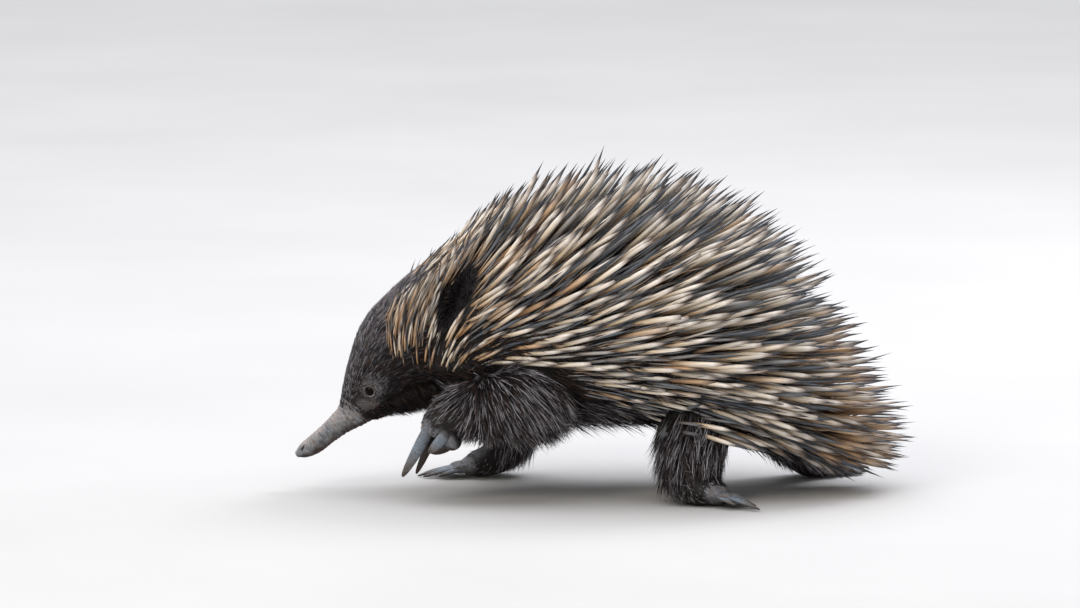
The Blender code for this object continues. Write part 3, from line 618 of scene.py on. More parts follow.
joined.materials.clear()
joined.materials.append(skin)
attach(hide, "root")
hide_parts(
    "beak", "head", "neck", "torso", "tail", "left_ear", "right_ear",
    *[f"{leg_name}_{part}" for leg_name in LEG_ROWS for part in ("leg", "foot")],
)

# The eyes. Small wet globes, almost black, set deep in the bare rings: a brown iris round a wide
# pupil under a clear cornea.
EYE_RADIUS, EYE_SINK = 0.0048, 0.0034
# Wet and glossy, so that it shows one small clear light.
wet = finish("wet_eye", Roughness=0.06, IOR=1.38, Specular_IOR_Level=0.10, Coat_Weight=0.06,
             Coat_Roughness=0.02)
eye_turn = lay(wet, "Attribute", out="Fac", attribute_name="eye_turn")
iris = lay(wet, "ValToRGB", {"Fac": eye_turn},
           stops=((0.0, "#020202"), (0.30, "#030303"), (0.38, "#140c08"), (0.58, "#100a07"),
                  (0.66, "#080606"), (0.80, "#2c2623")))
fibre = lay(wet, "TexNoise", {"Vector": lay(wet, "TexCoord", out="Object"), "Scale": 2400.0, "Detail": 2.0})
fibre_tones = lay(wet, "MapRange", {"Value": fibre, "To Min": 0.6, "To Max": 1.35})
feed(wet, Base_Color=lay(wet, "Mix", {0: 1.0, 6: iris, 7: fibre_tones}, **DARKEN))


def smooth_piece(name, points, faces, surface, followed, values):
    """A smooth piece with its surface and the value that its colour follows."""
    made = whole(name, points, faces)
    made.data.polygons.foreach_set("use_smooth", np.ones(len(faces), bool))
    mark(made.data, followed, values)
    made.data.materials.append(surface)
    return made


for spot, (side_name, _) in zip(EYES, SIDES):
    middle = spot.point - spot.out * EYE_SINK

    def globe(p, a):
        bulge = EYE_RADIUS * (1 + 0.05 * np.exp(-((p / 0.55) ** 2)))
        return (
            middle
            + go(spot.out, bulge * np.cos(p))
            + go(spot.ahead, bulge * np.sin(p) * np.cos(a))
            + go(spot.up, bulge * np.sin(p) * np.sin(a))
        )

    points, faces = closed_sheet(
        np.linspace(0.02, math.pi - 0.02, 40), np.linspace(-math.pi, math.pi, 49)[:-1], globe
    )
    turned = np.arccos(np.clip(unit(points - middle) @ spot.out, -1, 1)) / (math.pi / 2)
    eyeball = smooth_piece(side_name + "_eyeball", points, faces, wet, "eye_turn", turned)
    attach(eyeball, "root")
    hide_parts(side_name + "_eye")

# The eyelids. A soft bare rim round each globe, moist and grey, darker on its outer side, with a painted
# highlight below and behind. It is part of the skin and stands a little over the ring's folds.
RIM_RADIUS, RIM_THICK, RIM_RINGS, RIM_SIDES = 0.00350, 0.00070, 48, 12
# Moist skin: smoother than the rest, so that its edge catches the light.
lid_skin = finish("eyelid_skin", Roughness=0.38, IOR=1.42, Specular_IOR_Level=0.45)
rim_highlight = lay(lid_skin, "Attribute", out="Fac", attribute_name="rim_highlight")
rim_highlight_tones = lay(lid_skin, "ValToRGB", {"Fac": rim_highlight},
                stops=((0.0, "#2a2321"), (0.40, "#675e5b"), (0.72, "#979092"), (1.0, "#c4bfc3")))
rim_noise = lay(lid_skin, "TexNoise",
                {"Vector": lay(lid_skin, "TexCoord", out="Object"), "Scale": 1500.0, "Detail": 3.0})
rim_mottle = lay(lid_skin, "MapRange", {"Value": rim_noise, "To Min": 0.55, "To Max": 1.3})
rim_colour = lay(lid_skin, "Mix", {0: 1.0, 6: rim_highlight_tones, 7: rim_mottle}, **DARKEN)
rim_bump = lay(lid_skin, "Bump", {"Height": rim_noise, "Strength": 0.5, "Distance": 0.0003})
feed(lid_skin, Base_Color=rim_colour, Normal=rim_bump)
ring_turns = np.linspace(-math.pi, math.pi, RIM_RINGS + 1)[:-1]
for spot, (side_name, _) in zip(EYES, SIDES):
    level = []  # how high the hide stands round the eye, smoothed to its first waves
    for a in ring_turns:
        way = spot.ahead * math.cos(a) + spot.up * math.sin(a)
        hit, _, _, far = onto_hide(spot.point + way * RIM_RADIUS, spot.out)
        level.append(SEEK - (far if hit else SEEK))
    waves = np.fft.rfft(level)
    waves[3:] = 0
    level = np.fft.irfft(waves, RIM_RINGS)
    p, a = np.meshgrid(np.linspace(0, 2 * math.pi, RIM_SIDES + 1)[:-1], ring_turns, indexing="ij")
    radius = RIM_RADIUS + RIM_THICK * (0.95 + 0.25 * np.cos(a - 0.9)) * np.cos(p)
    height = np.interp(a, ring_turns, level, period=2 * math.pi) + 0.0004 + RIM_THICK * 0.9 * np.sin(p)
    points = spot.at(radius * np.cos(a), radius * np.sin(a), height).reshape(-1, 3)
    faces = []
    for i in range(RIM_SIDES):
        here, after = i * RIM_RINGS, (i + 1) % RIM_SIDES * RIM_RINGS
        for j in range(RIM_RINGS):
            k = (j + 1) % RIM_RINGS
            faces.append((here + j, here + k, after + k, after + j))
    # A painted highlight on the rim below and behind the eye; the rim is also darker on its outer side.
    lit = 0.30 + 0.70 * share(np.cos(a + 2.2)) ** 2 - 0.25 * share(np.cos(p))
    eyelid = smooth_piece(side_name + "_eyelid", points, faces, lid_skin, "rim_highlight", lit.ravel())
    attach(eyelid, "root")

# The claws. Long flat digging nails of horn, five to a foot, grown from the ends of the toes:
# blue-grey where they are worn smooth and brown where soil stains them.
NAIL_PROFILE = ((0.0, 0.95), (0.12, 1.10), (0.3, 1.14), (0.5, 1.06), (0.68, 0.90), (0.82, 0.72),
                (0.92, 0.52), (0.98, 0.28), (1.0, 0.0))
NAIL_HALF_WIDTH, NAIL_SUNK, NAIL_LOWEST = 0.0029, 0.0015, 0.0004
SHORTEST_NAIL = 0.006  # the claw of a shorter toe is hidden behind it
# Worn horn: hard and half polished, so it shines softly along its back.
horn = finish("claw_horn", Roughness=0.42, IOR=1.54, Specular_IOR_Level=0.45)
nail_values, round_nail = lay(horn, "Attribute", out=("Color", "Alpha"), attribute_name="quill")
along_nail, shaded_back_nail, nail_underside_shade = lay(horn, "SeparateColor", {"Color": nail_values}, ("Red", "Green", "Blue"))
nail_tones = lay(horn, "ValToRGB", {"Fac": along_nail},
                 stops=((0.0, "#545256"), (0.14, "#78818a"), (0.5, "#87929d"), (0.78, "#77726f"),
                        (1.0, "#4d3c31")))
on_nail = lay(horn, "TexCoord", out="Object")
soil = lay(horn, "TexNoise", {"Vector": on_nail, "Scale": 260.0, "Detail": 5.0, "Roughness": 0.7})
soil = lay(horn, "MapRange", {"Value": soil, "From Min": 0.48, "From Max": 0.75, "To Max": 0.55})
# Soil stains it, its underside is painted darker as shade, and the inner nail of the lifted paw, which lies
# behind, is painted dark brown all over as shade.
for covered, colour in ((soil, "#4d3a2e"), (nail_underside_shade, "#3b2a22"), (shaded_back_nail, "#33241c")):
    nail_tones = lay(horn, "Mix", {0: covered, 6: nail_tones, 7: linear(colour)}, **COVER)
# Wear leaves pale scratches and dark pits about 1 mm across.
wear = lay(horn, "TexNoise", {"Vector": on_nail, "Scale": 900.0, "Detail": 4.0, "Roughness": 0.7})
wear_tones = lay(horn, "ValToRGB", {"Fac": wear},
                 stops=((0.34, "#6e6a68"), (0.50, "#d9d9da"), (0.64, "#ffffff")))
nail_tones = lay(horn, "Mix", {0: 0.8, 6: nail_tones, 7: wear_tones}, **DARKEN)
# The growth lines along a nail are about 0.4 mm apart.
nail_lines = lay(horn, "CombineXYZ", {"X": round_nail, "Y": along_nail})
nail_lines = lay(horn, "VectorMath", {0: nail_lines, 1: (6.0, 0.5, 1.0)}, operation="MULTIPLY")
nail_lines = lay(horn, "TexNoise", {"Vector": nail_lines, "Scale": 9.0, "Detail": 3.0})
line_bump = lay(horn, "Bump", {"Height": nail_lines, "Strength": 0.8, "Distance": 0.0005})
feed(horn, Base_Color=nail_tones, Normal=line_bump)


def strip(name, points, triangles, quill, spread, surface):
    """A joined mesh: its points, triangles, the values its colour follows and its OFBake map."""
    mesh = bpy.data.meshes.new(name)
    mesh.vertices.add(len(points))
    mesh.vertices.foreach_set("co", np.ascontiguousarray(points, np.float32).ravel())
    mesh.loops.add(3 * len(triangles))
    mesh.loops.foreach_set("vertex_index", triangles.astype(np.int32).ravel())
    mesh.polygons.add(len(triangles))
    mesh.polygons.foreach_set("loop_start", np.arange(0, 3 * len(triangles), 3, dtype=np.int32))
    mesh.update(calc_edges=True)
    mesh.polygons.foreach_set("use_smooth", np.ones(len(triangles), bool))
    mark(mesh, "quill", quill)
    if spread is not None:
        laid = mesh.uv_layers.new(name="OFBake")
        laid.data.foreach_set("uv", spread[triangles.ravel()].astype(np.float32).ravel())
    mesh.materials.append(surface)
    made = bpy.data.objects.new(name, mesh)
    bpy.context.scene.collection.objects.link(made)
    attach(made, "root")
    return made


PATCH = 0.003  # how far one tuft's patch reaches on the map


def grow(root, lie, out, length, width, profile, sides=3, flat=1.0, bend=0.0, sway=0.0,
         kind=0.0, shade=0.5, chart=None, twist=0.0):
    """Tapered closed shoots: (points, triangles, values, map, count). A profile's rings are
    (share of the length, share of the width), and its last is the tip."""
    count = len(root)
    reach, girth = np.array(profile).T
    length, width, bend, sway, kind, shade, flat, twist = [
        np.broadcast_to(np.asarray(v, float), (count,))[:, None]
        for v in (length, width, bend, sway, kind, shade, flat, twist)
    ]
    lie = unit(lie)
    side = unit(np.cross(lie, out))
    up = np.cross(side, lie)
    rings = len(reach) - 1
    path = (
        root[:, None]
        + go(lie[:, None], length * reach)
        + go(up[:, None], length * bend * reach**2)
        + go(side[:, None], length * sway * reach**2)
    )
    turn = (2 * math.pi * np.arange(sides) / sides + twist)[:, None]
    ring = (
        go(side[:, None, None], np.cos(turn) * (width * girth[:rings])[..., None])
        + go(up[:, None, None], np.sin(turn) * (width * flat * girth[:rings])[..., None])
    )
    shell = path[:, :rings, None] + ring
    points = np.concatenate([shell.reshape(count, -1, 3), path[:, -1:]], 1)
    one = []
    for r in range(rings - 1):
        for k in range(sides):
            a, b = r * sides + k, r * sides + (k + 1) % sides
            one += [(a, b, b + sides), (a, b + sides, a + sides)]
    last = (rings - 1) * sides
    one += [(last + k, last + (k + 1) % sides, last + sides) for k in range(sides)]
    one += [(0, k + 1, k) for k in range(1, sides - 1)]
    triangles = (np.array(one)[None] + (np.arange(count) * points.shape[1])[:, None, None]).reshape(-1, 3)
    along = np.append(np.repeat(reach[:rings], sides), reach[-1])
    around = np.append(np.tile(np.arange(sides) / sides, rings), 0.5)
    values = np.stack(np.broadcast_arrays(along, kind, shade, around), -1).reshape(-1, 4)
    spread = None
    if chart is not None:
        patch = np.stack([around - 0.5, along - 0.5], -1) * PATCH
        spread = (chart[:, None] + patch[None]).reshape(-1, 2)
    return points.reshape(-1, 3), triangles, values, spread, count


for leg_name in LEG_ROWS:
    sizes_of_nails = []
    for root, ahead, side, reach, thick in toes_of(leg_name):
        if reach < SHORTEST_NAIL:
            continue
        above = np.cross(side, ahead)
        if leg_name == LIFTED:
            start = root + (above * 0.0026 * thick - ahead * NAIL_SUNK)
        else:  # the claws of a foot that stands rest their tips on the floor
            start = root + ahead * NAIL_SUNK
            above = above if above[2] > 0 else -above
            start[2] = max(start[2], 0.0034)
            ahead = unit(ahead + np.array((0, 0, 0.10 - (start[2] - 0.0024) / reach * 0.6)))
        sizes_of_nails.append((start, ahead, above, reach - NAIL_SUNK, NAIL_HALF_WIDTH * thick))
    starts, ways, backs, lengths, widths = [np.array(column) for column in zip(*sizes_of_nails)]
    points, triangles, values, _, _ = grow(
        starts, ways, backs, lengths, widths, NAIL_PROFILE, sides=16, flat=0.55, bend=-0.10, shade=0.0
    )
    if leg_name != LIFTED:
        points[:, 2] = np.maximum(points[:, 2], NAIL_LOWEST)
    # Painted shade: the underside of each nail darker, and the nail behind on the lifted paw dark all over.
    values[:, 2] = share(-np.sin(values[:, 3] * 2 * math.pi) * 1.2)
    values[:, 1] = np.repeat(widths < NAIL_HALF_WIDTH * 0.97, len(values) // len(widths))
    nails = strip(leg_name + "_claws", points, triangles, values, None, horn)

# The spines. Stiff hollow quills of keratin, thickest at mid length and drawn out to a needle: most
# are cream between a tan root and a blue-black tip, and the rest are slate all the way, with a painted
# bluish sheen. They stand up from the back and lie along the flanks, each rooted in the hide.

# The lie of the quills at each section from 8 on: degrees over level at the ridge, the flank and the
# lowest row, their length at the ridge, and how many degrees round the lowest row is.
LIE_ROWS = (
    (46, 82, 106, 0.038, 92), (45, 78, 102, 0.044, 118), (47, 68, 68, 0.050, 132),
    (55, 52, 0, 0.054, 122), (55, 38, -12, 0.058, 136), (47, 24, -21, 0.060, 154),
    (33, 12, -28, 0.060, 156), (20, 3, -31, 0.054, 162), (10, -3, -30, 0.056, 168),
    (6, -5, -20, 0.052, 174), (2, -6, -12, 0.046, 176), (-1, -5, -7, 0.042, 178),
)
FIRST_ROW, HAIRLINE = 8.0, 8.60
SPLAY = math.radians(20)
QUILL_SUNK, FINE_SUNK = 0.003, 0.002  # how deep they are rooted
TIP_HEIGHT = 0.004  # how far over the floor their tips stay
CROWN_END, CROWN_HALF = 10.2, 0.75  # the crown's last section, and how far round it reaches
OVER_EAR = -0.0008  # how far a quill may reach over the edge of an ear's opening
# (share of the length, share of the width) from root to tip.
QUILL_PROFILE = ((0.0, 0.55), (0.12, 0.80), (0.28, 0.96), (0.48, 1.0), (0.66, 0.95), (0.77, 0.75),
                 (0.85, 0.38), (0.93, 0.15), (1.0, 0.0))
CROWN_PROFILE = ((0.0, 0.25), (0.14, 0.50), (0.34, 0.88), (0.54, 1.0), (0.72, 0.82), (0.86, 0.42),
                 (1.0, 0.0))
BLUNT_PROFILE = ((0.0, 0.50), (0.10, 0.66), (0.26, 0.92), (0.44, 1.0), (0.62, 0.92), (0.74, 0.84),
                 (0.80, 0.80), (0.805, 0.66), (0.807, 0.0))
FINE_PROFILE = ((0.0, 0.9), (0.25, 1.0), (0.55, 0.85), (0.8, 0.45), (1.0, 0.0))
MOST_TRIANGLES = 190000  # in one piece of the coat


def planted(name, surface, grown):
    """Turns grown shoots into pieces of the coat."""
    points, triangles, values, spread, shoots = grown
    pieces = max(1, math.ceil(len(triangles) / MOST_TRIANGLES))
    each, each_triangles = len(points) // shoots, len(triangles) // shoots
    for k in range(pieces):
        first, last = k * shoots // pieces, (k + 1) * shoots // pieces
        p = slice(first * each, last * each)
        t = triangles[first * each_triangles : last * each_triangles] - first * each
        label = name if pieces == 1 else f"{name}_{k + 1}"
        piece = strip(label, points[p], t, values[p], spread[p], surface)


def lowest_row(place):
    return np.radians(row_at(LIE_ROWS, np.asarray(place) - FIRST_ROW)[..., 4])


def pointing(rise, lean):
    """The direction that rises over level and leans to the right by these angles."""
    return np.stack([np.cos(rise) * np.cos(lean), np.sin(lean), np.sin(rise) * np.cos(lean)], -1)


def lifted_off(way, out, least):
    """Directions that leave the hide by a least amount."""
    return unit(way + go(out, np.maximum(least - (way * out).sum(-1), 0)))


def quill_lie(place, angle, turn, splay, least):
    """(direction, the hide's normal, full length) of quills that grow at places on the body."""
    ridge, flank, low, length, lowest = np.moveaxis(row_at(LIE_ROWS, place - FIRST_ROW), -1, 0)
    down = share(np.abs(angle) / np.radians(lowest))
    rise = np.where(
        down < 0.5,
        ridge + (flank - ridge) * (2 * down) ** np.interp(place, (9.8, 11.5), (3.4, 1.2)),
        flank + (low - flank) * (2 * down - 1),
    )
    rise = np.radians(rise) + turn * np.interp(place, (9.4, 10.8), (0.45, 1.0))
    out, _ = outward(trunk, place, angle)
    way = lifted_off(pointing(rise, SPLAY * np.sin(angle) + splay), out, least)
    return way, out, length * (1 - 0.25 * down**2)


def strew(surface, places, angles, count, density, draw):
    """Random places on a surface, even over its area and then thinned by a density from 0 to 1."""
    grid_places, grid_angles = np.linspace(*places, 240), np.linspace(*angles, 200)
    p, a = np.meshgrid(grid_places, grid_angles, indexing="ij")
    along = surface(p + 0.01, a) - surface(p - 0.01, a)
    around = surface(p, a + 0.01) - surface(p, a - 0.01)
    weight = (np.linalg.norm(np.cross(along, around), axis=-1) * share(density(p, a))).ravel()
    total = np.cumsum(weight)
    chosen = np.clip(np.searchsorted(total, draw.random(count) * total[-1]), 0, p.size - 1)
    step_p, step_a = grid_places[1] - grid_places[0], grid_angles[1] - grid_angles[0]
    return (
        p.ravel()[chosen] + draw.uniform(-0.5, 0.5, count) * step_p,
        a.ravel()[chosen] + draw.uniform(-0.5, 0.5, count) * step_a,
    )


def spaced(points, pitch):
    """Which points keep their own pitch from all those before them."""
    pitch = np.broadcast_to(pitch, len(points))
    homes = (points // pitch.max()).astype(int).tolist()
    taken, kept = {}, []
    for i, home in enumerate(homes):
        cells = product(*[(h - 1, h, h + 1) for h in home])
        near = (j for cell in cells for j in taken.get(cell, ()))
        if not any(((points[i] - points[j]) ** 2).sum() < pitch[i] ** 2 for j in near):
            taken.setdefault(tuple(home), []).append(i)
            kept.append(i)
    return np.array(kept)


trunk_reach = np.linspace(0, TAIL_END, 200)
trunk_steps = np.linalg.norm(np.diff(trunk(trunk_reach, np.full(200, 1.2)), axis=0), axis=1)
trunk_arc = np.append(0, np.cumsum(trunk_steps))


def trunk_chart(place, angle):
    """Where a place of the trunk lies on the unwrapped hide: along the body and round it."""
    u = 0.02 + 0.66 * np.interp(place, trunk_reach, trunk_arc) / trunk_arc[-1]
    return np.stack([u, 0.5 + angle / (2 * math.pi) * 0.94], -1)


def leg_chart(name, place, angle):
    """The same for a leg: the four legs lie in a column beside the trunk."""
    low = 0.02 + 0.245 * list(LEG_ROWS).index(name)
    return np.stack([0.72 + 0.26 * place / TOES, low + 0.11 + angle / (2 * math.pi) * 0.21], -1)


def clear_of_ear(points, margin):
    free = np.ones(len(points), bool)
    for spot in EARS:
        ahead, up, out = spot.local(points)
        inside = np.hypot(ahead / (EAR_HALF_WIDTH + margin), up / (EAR_HALF_HEIGHT + margin)) < 1
        free &= ~(inside & (np.abs(out) < EAR_DEEP))
    return free


def rooted(surface, place, angle, root, pitch, margin):
    """The places and roots that keep their pitch, and grow outside the hide and clear of the ears."""
    kept = spaced(root, pitch)
    kept = kept[clear_of_ear(root[kept], margin)]
    kept = kept[outside(root[kept] + 0.002 * outward(surface, place[kept], angle[kept])[0]) > 0]
    return place[kept], angle[kept], root[kept]


def off_floor(root, way, length):
    """The directions of quills, with those that would touch the floor raised."""
    for _ in range(12):
        low_tip = (root + go(way, length))[:, 2] < TIP_HEIGHT
        way[low_tip] = unit(way[low_tip] + np.array((0, 0, 0.10)))
    return way


def close_on_crown(place, angle, root, way, length, highest, shorter):
    """Lengths of quills, with those that would stand off the crown made shorter."""
    on_top = (place < CROWN_END) & (np.abs(angle) < CROWN_HALF)
    standing = on_top & (outside(root + go(way, length)) > highest)
    return np.where(standing, length * shorter, length)


draw = np.random.default_rng(11)
place, angle = strew(
    trunk, (HAIRLINE, TAIL_END - 0.25), (-2.95, 2.95), 17000,
    lambda p, a: (np.abs(a) < lowest_row(p)) * 1.0, draw,
)
root = trunk(place, angle, -hide_depth(place))
hair_edge = HAIRLINE + 0.14 + 0.42 * share(np.cos(angle))
grown_in = place > hair_edge + 0.12 * ripple(root, 0.012, 61) + draw.normal(0, 0.10, len(root))
place, angle, root = place[grown_in], angle[grown_in], root[grown_in]
pitch = np.interp(
    place, (7.6, 9.0, 10.5, 12.0, 15.5, 17.0, 19.0),
    (0.0027, 0.0031, 0.0042, 0.0066, 0.0067, 0.0056, 0.0045),
)
place, angle, root = rooted(trunk, place, angle, root, pitch, 0.0003)
count = len(root)
kind = draw.random(count)
cream = kind < np.interp(
    place, (8.0, 9.5, 11.5, 13.0, 17.0, 19.0), (0.84, 0.78, 0.54, 0.42, 0.50, 0.88)
)
cream |= (np.abs(angle) > 1.0) & (place > 10.5) & (draw.random(count) < 0.16)
low_share = np.abs(angle) / lowest_row(place)
way, out, full = quill_lie(
    place, angle, draw.normal(0, 0.055, count), draw.normal(0, 0.055, count),
    np.interp(place, (9.0, 11.0, 12.5), (0.03, 0.14, 0.20)) - 0.05 * ~cream,
)
length = full * np.where(cream, draw.uniform(0.88, 1.06, count), draw.uniform(0.74, 1.06, count))
thick = np.where(cream, draw.uniform(0.0016, 0.0022, count), draw.uniform(0.0008, 0.0015, count))
thick *= np.interp(
    place, (7.6, 9.0, 10.0, 11.5, 15.5, 17.0, 19.0), (0.38, 0.42, 0.54, 1.0, 1.0, 0.72, 0.60)
)
slim = np.interp(place, (11.0, 12.0, 13.5, 15.0), (0.2, 0.35, 0.2, 0.0))
thick *= 1 - slim * share((low_share - 0.65) / 0.35)
for spot in EARS:  # those round an ear fan away from it
    ahead, up, off = spot.local(root)
    ahead, up = ahead / EAR_HALF_WIDTH, up / EAR_HALF_HEIGHT
    away = np.hypot(ahead, up)
    fanned = np.where((away < 2.2) & (np.abs(off) < EAR_DEEP), share((2.2 - away) / 1.2), 0.0)
    from_ear = go(spot.ahead, ahead) + go(spot.up, up)
    way = unit(way + 0.40 * fanned[:, None] * unit(from_ear))
way = off_floor(root, way, length)
# Those that would cross the dark opening of an ear stop at its edge, or are left out.
reach = np.ones(count)
for part in (0.95, 0.85, 0.75, 0.65, 0.55, 0.45, 0.35, 0.25, 0.15):
    reach = np.where(clear_of_ear(root + go(way, length * part), OVER_EAR), reach, part)
length = length * reach
place, angle, root, way, out, length, thick, cream, low_share = [
    v[reach > 0.4] for v in (place, angle, root, way, out, length, thick, cream, low_share)
]
count = len(root)
length = close_on_crown(place, angle, root, way, length, 0.0090, 0.7)
blunt = cream & (draw.random(count) < np.where((low_share > 0.55) & (place > 11.5), 0.12, 0.03))

# Smooth dry keratin: a narrow shine along the round of each quill.
keratin = finish("quill_keratin", Roughness=0.34, IOR=1.54, Specular_IOR_Level=0.5)
quill_values, round_quill = lay(keratin, "Attribute", out=("Color", "Alpha"), attribute_name="quill")
along, quill_kind, quill_shade = lay(
    keratin, "SeparateColor", {"Color": quill_values}, ("Red", "Green", "Blue")
)
cream_tones = lay(keratin, "ValToRGB", {"Fac": along},
                  stops=((0.0, "#3a2a20"), (0.10, "#7d5c44"), (0.22, "#bd9a76"), (0.38, "#dbc5a6"),
                         (0.54, "#e8dac6"), (0.71, "#ece3d8"), (0.79, "#a79a8e"), (0.85, "#403a3b"),
                         (0.92, "#1d1d21"), (1.0, "#121216")))
tan_tones = lay(keratin, "ValToRGB", {"Fac": along},
                stops=((0.0, "#35241b"), (0.2, "#85603f"), (0.45, "#b28659"), (0.64, "#c49d72"),
                       (0.76, "#6b5140"), (0.9, "#2a2221"), (1.0, "#1c191c")))
# The slates' blue-grey is partly their own dark tone and partly a painted bluish reflection of the sky.
slate_and_sky_sheen_tones = lay(keratin, "ValToRGB", {"Fac": along},
                  stops=((0.0, "#241b17"), (0.18, "#4a423f"), (0.40, "#696d73"), (0.62, "#5c646d"),
                         (0.82, "#343a42"), (1.0, "#16181d")))
# The kind runs from 0, slate all along, over 0.5, cream, to 1, tan.
cream_share = lay(keratin, "MapRange", {"Value": quill_kind, "From Max": 0.5})
tan_share = lay(keratin, "MapRange", {"Value": quill_kind, "From Min": 0.5})
banded = lay(keratin, "Mix", {0: cream_share, 6: slate_and_sky_sheen_tones, 7: cream_tones}, **COVER)
banded = lay(keratin, "Mix", {0: tan_share, 6: banded, 7: tan_tones}, **COVER)
# Fine grooves run the length of a quill, drawn about 0.4 mm apart so that they show; their tones are
# partly the quill's own streaks and partly painted shade in the grooves and painted highlight between.
groove = lay(keratin, "CombineXYZ", {"X": round_quill, "Y": along, "Z": quill_shade})
groove = lay(keratin, "VectorMath", {0: groove, 1: (14.0, 3.0, 60.0)}, operation="MULTIPLY")
groove = lay(keratin, "TexNoise", {"Vector": groove, "Scale": 1.0, "Detail": 3.0, "Roughness": 0.6})
streak_and_groove_shade = lay(keratin, "MapRange",
                   {"Value": groove, "From Min": 0.25, "From Max": 0.75, "To Min": 0.72, "To Max": 1.18})
grooved = lay(keratin, "Mix", {0: 1.0, 6: banded, 7: streak_and_groove_shade}, **DARKEN)
each_quill = lay(keratin, "MapRange", {"Value": quill_shade, "To Min": 0.74, "To Max": 1.16})
varied = lay(keratin, "Mix", {0: 1.0, 6: grooved, 7: each_quill}, **DARKEN)
polish = lay(keratin, "MapRange", {"Value": groove, "To Min": 0.20, "To Max": 0.42})
groove_bump = lay(keratin, "Bump", {"Height": groove, "Strength": 0.5, "Distance": 0.0002})
feed(keratin, Base_Color=varied, Roughness=polish, Normal=groove_bump)

tanned = draw.random(count) < np.interp(
    place, (8.0, 9.5, 10.5, 12.0, 14.6, 15.8, 19.0), (0.6, 0.55, 0.4, 0.06, 0.12, 0.85, 0.95)
)
band = np.where(cream, np.where(tanned, draw.uniform(0.65, 1.0, count), draw.uniform(0.46, 0.56, count)),
                np.where(draw.random(count) < 0.5, draw.uniform(0.05, 0.22, count), 0.0))
shade = draw.random(count)
curve = draw.normal(-0.02, 0.035, count)
sway = draw.normal(0, 0.03, count)
sway -= np.sign(angle) * np.interp(place, (9.5, 11.0), (0.12, 0.0))
crown = ~blunt & (place < 10.4)
for these, name, profile in (
    (~blunt & ~crown, "spines", QUILL_PROFILE),
    (crown, "crown_spines", CROWN_PROFILE),
    (blunt, "blunt_spines", BLUNT_PROFILE),
):
    planted(name, keratin, grow(
        (root - out * QUILL_SUNK)[these], way[these], out[these], length[these] + QUILL_SUNK,
        thick[these], profile, sides=5, bend=curve[these], sway=sway[these], kind=band[these],
        shade=shade[these], chart=trunk_chart(place, angle)[these],
        twist=draw.uniform(0, 1, these.sum()),
    ))

# Those of the haunch grow on the outside of the thigh and lie back over it.
for leg_name, far in (("left_hind", -1.0), ("right_hind", 1.0)):
    draw = np.random.default_rng(17)
    thigh = lambda p, a, s=0.0: leg(leg_name, p, a, s)
    place, angle = strew(
        thigh, (0.2, 1.15), (-math.pi, math.pi), 2500,
        lambda p, a: (thigh(p, a)[..., 1] * far > thigh(p, 0.0 * a)[..., 1] * far + 0.004) * 1.0, draw,
    )
    root = thigh(place, angle, -leg_depth(place))
    place, angle, root = rooted(thigh, place, angle, root, 0.0068, 0.0003)
    out = outward(thigh, place, angle)[0]
    count = len(root)
    fall = np.radians(-17 + draw.normal(0, 4, count))
    lean = far * (0.10 + draw.normal(0, 0.05, count))
    way = lifted_off(pointing(fall, lean), out, 0.16)
    length = draw.uniform(0.034, 0.044, count)
    way = off_floor(root, way, length)
    cream = draw.random(count) < 0.55
    planted(leg_name + "_spines", keratin, grow(
        root - out * QUILL_SUNK, way, out, length + QUILL_SUNK,
        np.where(cream, draw.uniform(0.0014, 0.0019, count), draw.uniform(0.0010, 0.0014, count)),
        QUILL_PROFILE, sides=5, bend=draw.normal(-0.02, 0.035, count), sway=draw.normal(0, 0.03, count),
        kind=np.where(cream, draw.uniform(0.45, 0.62, count), draw.uniform(0.0, 0.12, count)),
        shade=draw.random(count), chart=leg_chart(leg_name, place, angle), twist=draw.uniform(0, 1, count),
    ))

# Between them stand finer quills, dark from end to end.
draw = np.random.default_rng(12)
place, angle = strew(
    trunk, (HAIRLINE + 0.1, TAIL_END - 0.2), (-3.0, 3.0), 9500,
    lambda p, a: (np.abs(a) < lowest_row(p) + 0.04) * np.interp(p, (8, 10, 12, 18), (0.9, 0.9, 1.0, 0.8)),
    draw,
)
root = trunk(place, angle, -hide_depth(place))
place, angle, root = rooted(trunk, place, angle, root, 0.0027, 0.0006)
count = len(root)
way, out, length = quill_lie(
    place, angle, draw.normal(0, 0.08, count), draw.normal(0, 0.08, count),
    np.interp(place, (9.0, 11.0, 12.5), (0.03, 0.06, 0.10)),
)
length = length * draw.uniform(0.42, 0.74, count)
way = off_floor(root, way, length)
for part in (0.9, 0.7, 0.5, 0.3):
    free = clear_of_ear(root + go(way, length * part), OVER_EAR)
    length = np.where(free, length, length * 0.6)
length = close_on_crown(place, angle, root, way, length, 0.0060, 0.6)
thick = draw.uniform(0.0004, 0.00075, count)
thick *= np.interp(place, (8.0, 10.0, 12.0, 19.0), (0.7, 0.8, 1.0, 0.9))
brown = draw.random(count) < np.interp(
    place, (8.7, 9.8, 11.0, 12.0, 15.0, 16.2), (0.75, 0.65, 0.30, 0.18, 0.30, 0.8)
)
planted("fine_spines", keratin, grow(
    root - out * FINE_SUNK, way, out, length + FINE_SUNK, thick, FINE_PROFILE, sides=4,
    bend=draw.normal(-0.02, 0.05, count), sway=draw.normal(0, 0.05, count),
    kind=np.where(brown, 0.85, draw.uniform(0.0, 0.14, count)),
    shade=draw.random(count) * np.where(brown, 0.4, 1.0), chart=trunk_chart(place, angle),
))

# The fur. Coarse dark brown hair between the spines, on the belly and the legs, and a short close
# pelt on the face: each shoot here is a small lock of hairs that lies along the coat.
HAIR_PROFILE = ((0.0, 0.9), (0.45, 1.0), (1.0, 0.0))
LONG_HAIR_PROFILE = ((0.0, 0.9), (0.35, 1.0), (0.72, 0.6), (1.0, 0.0))

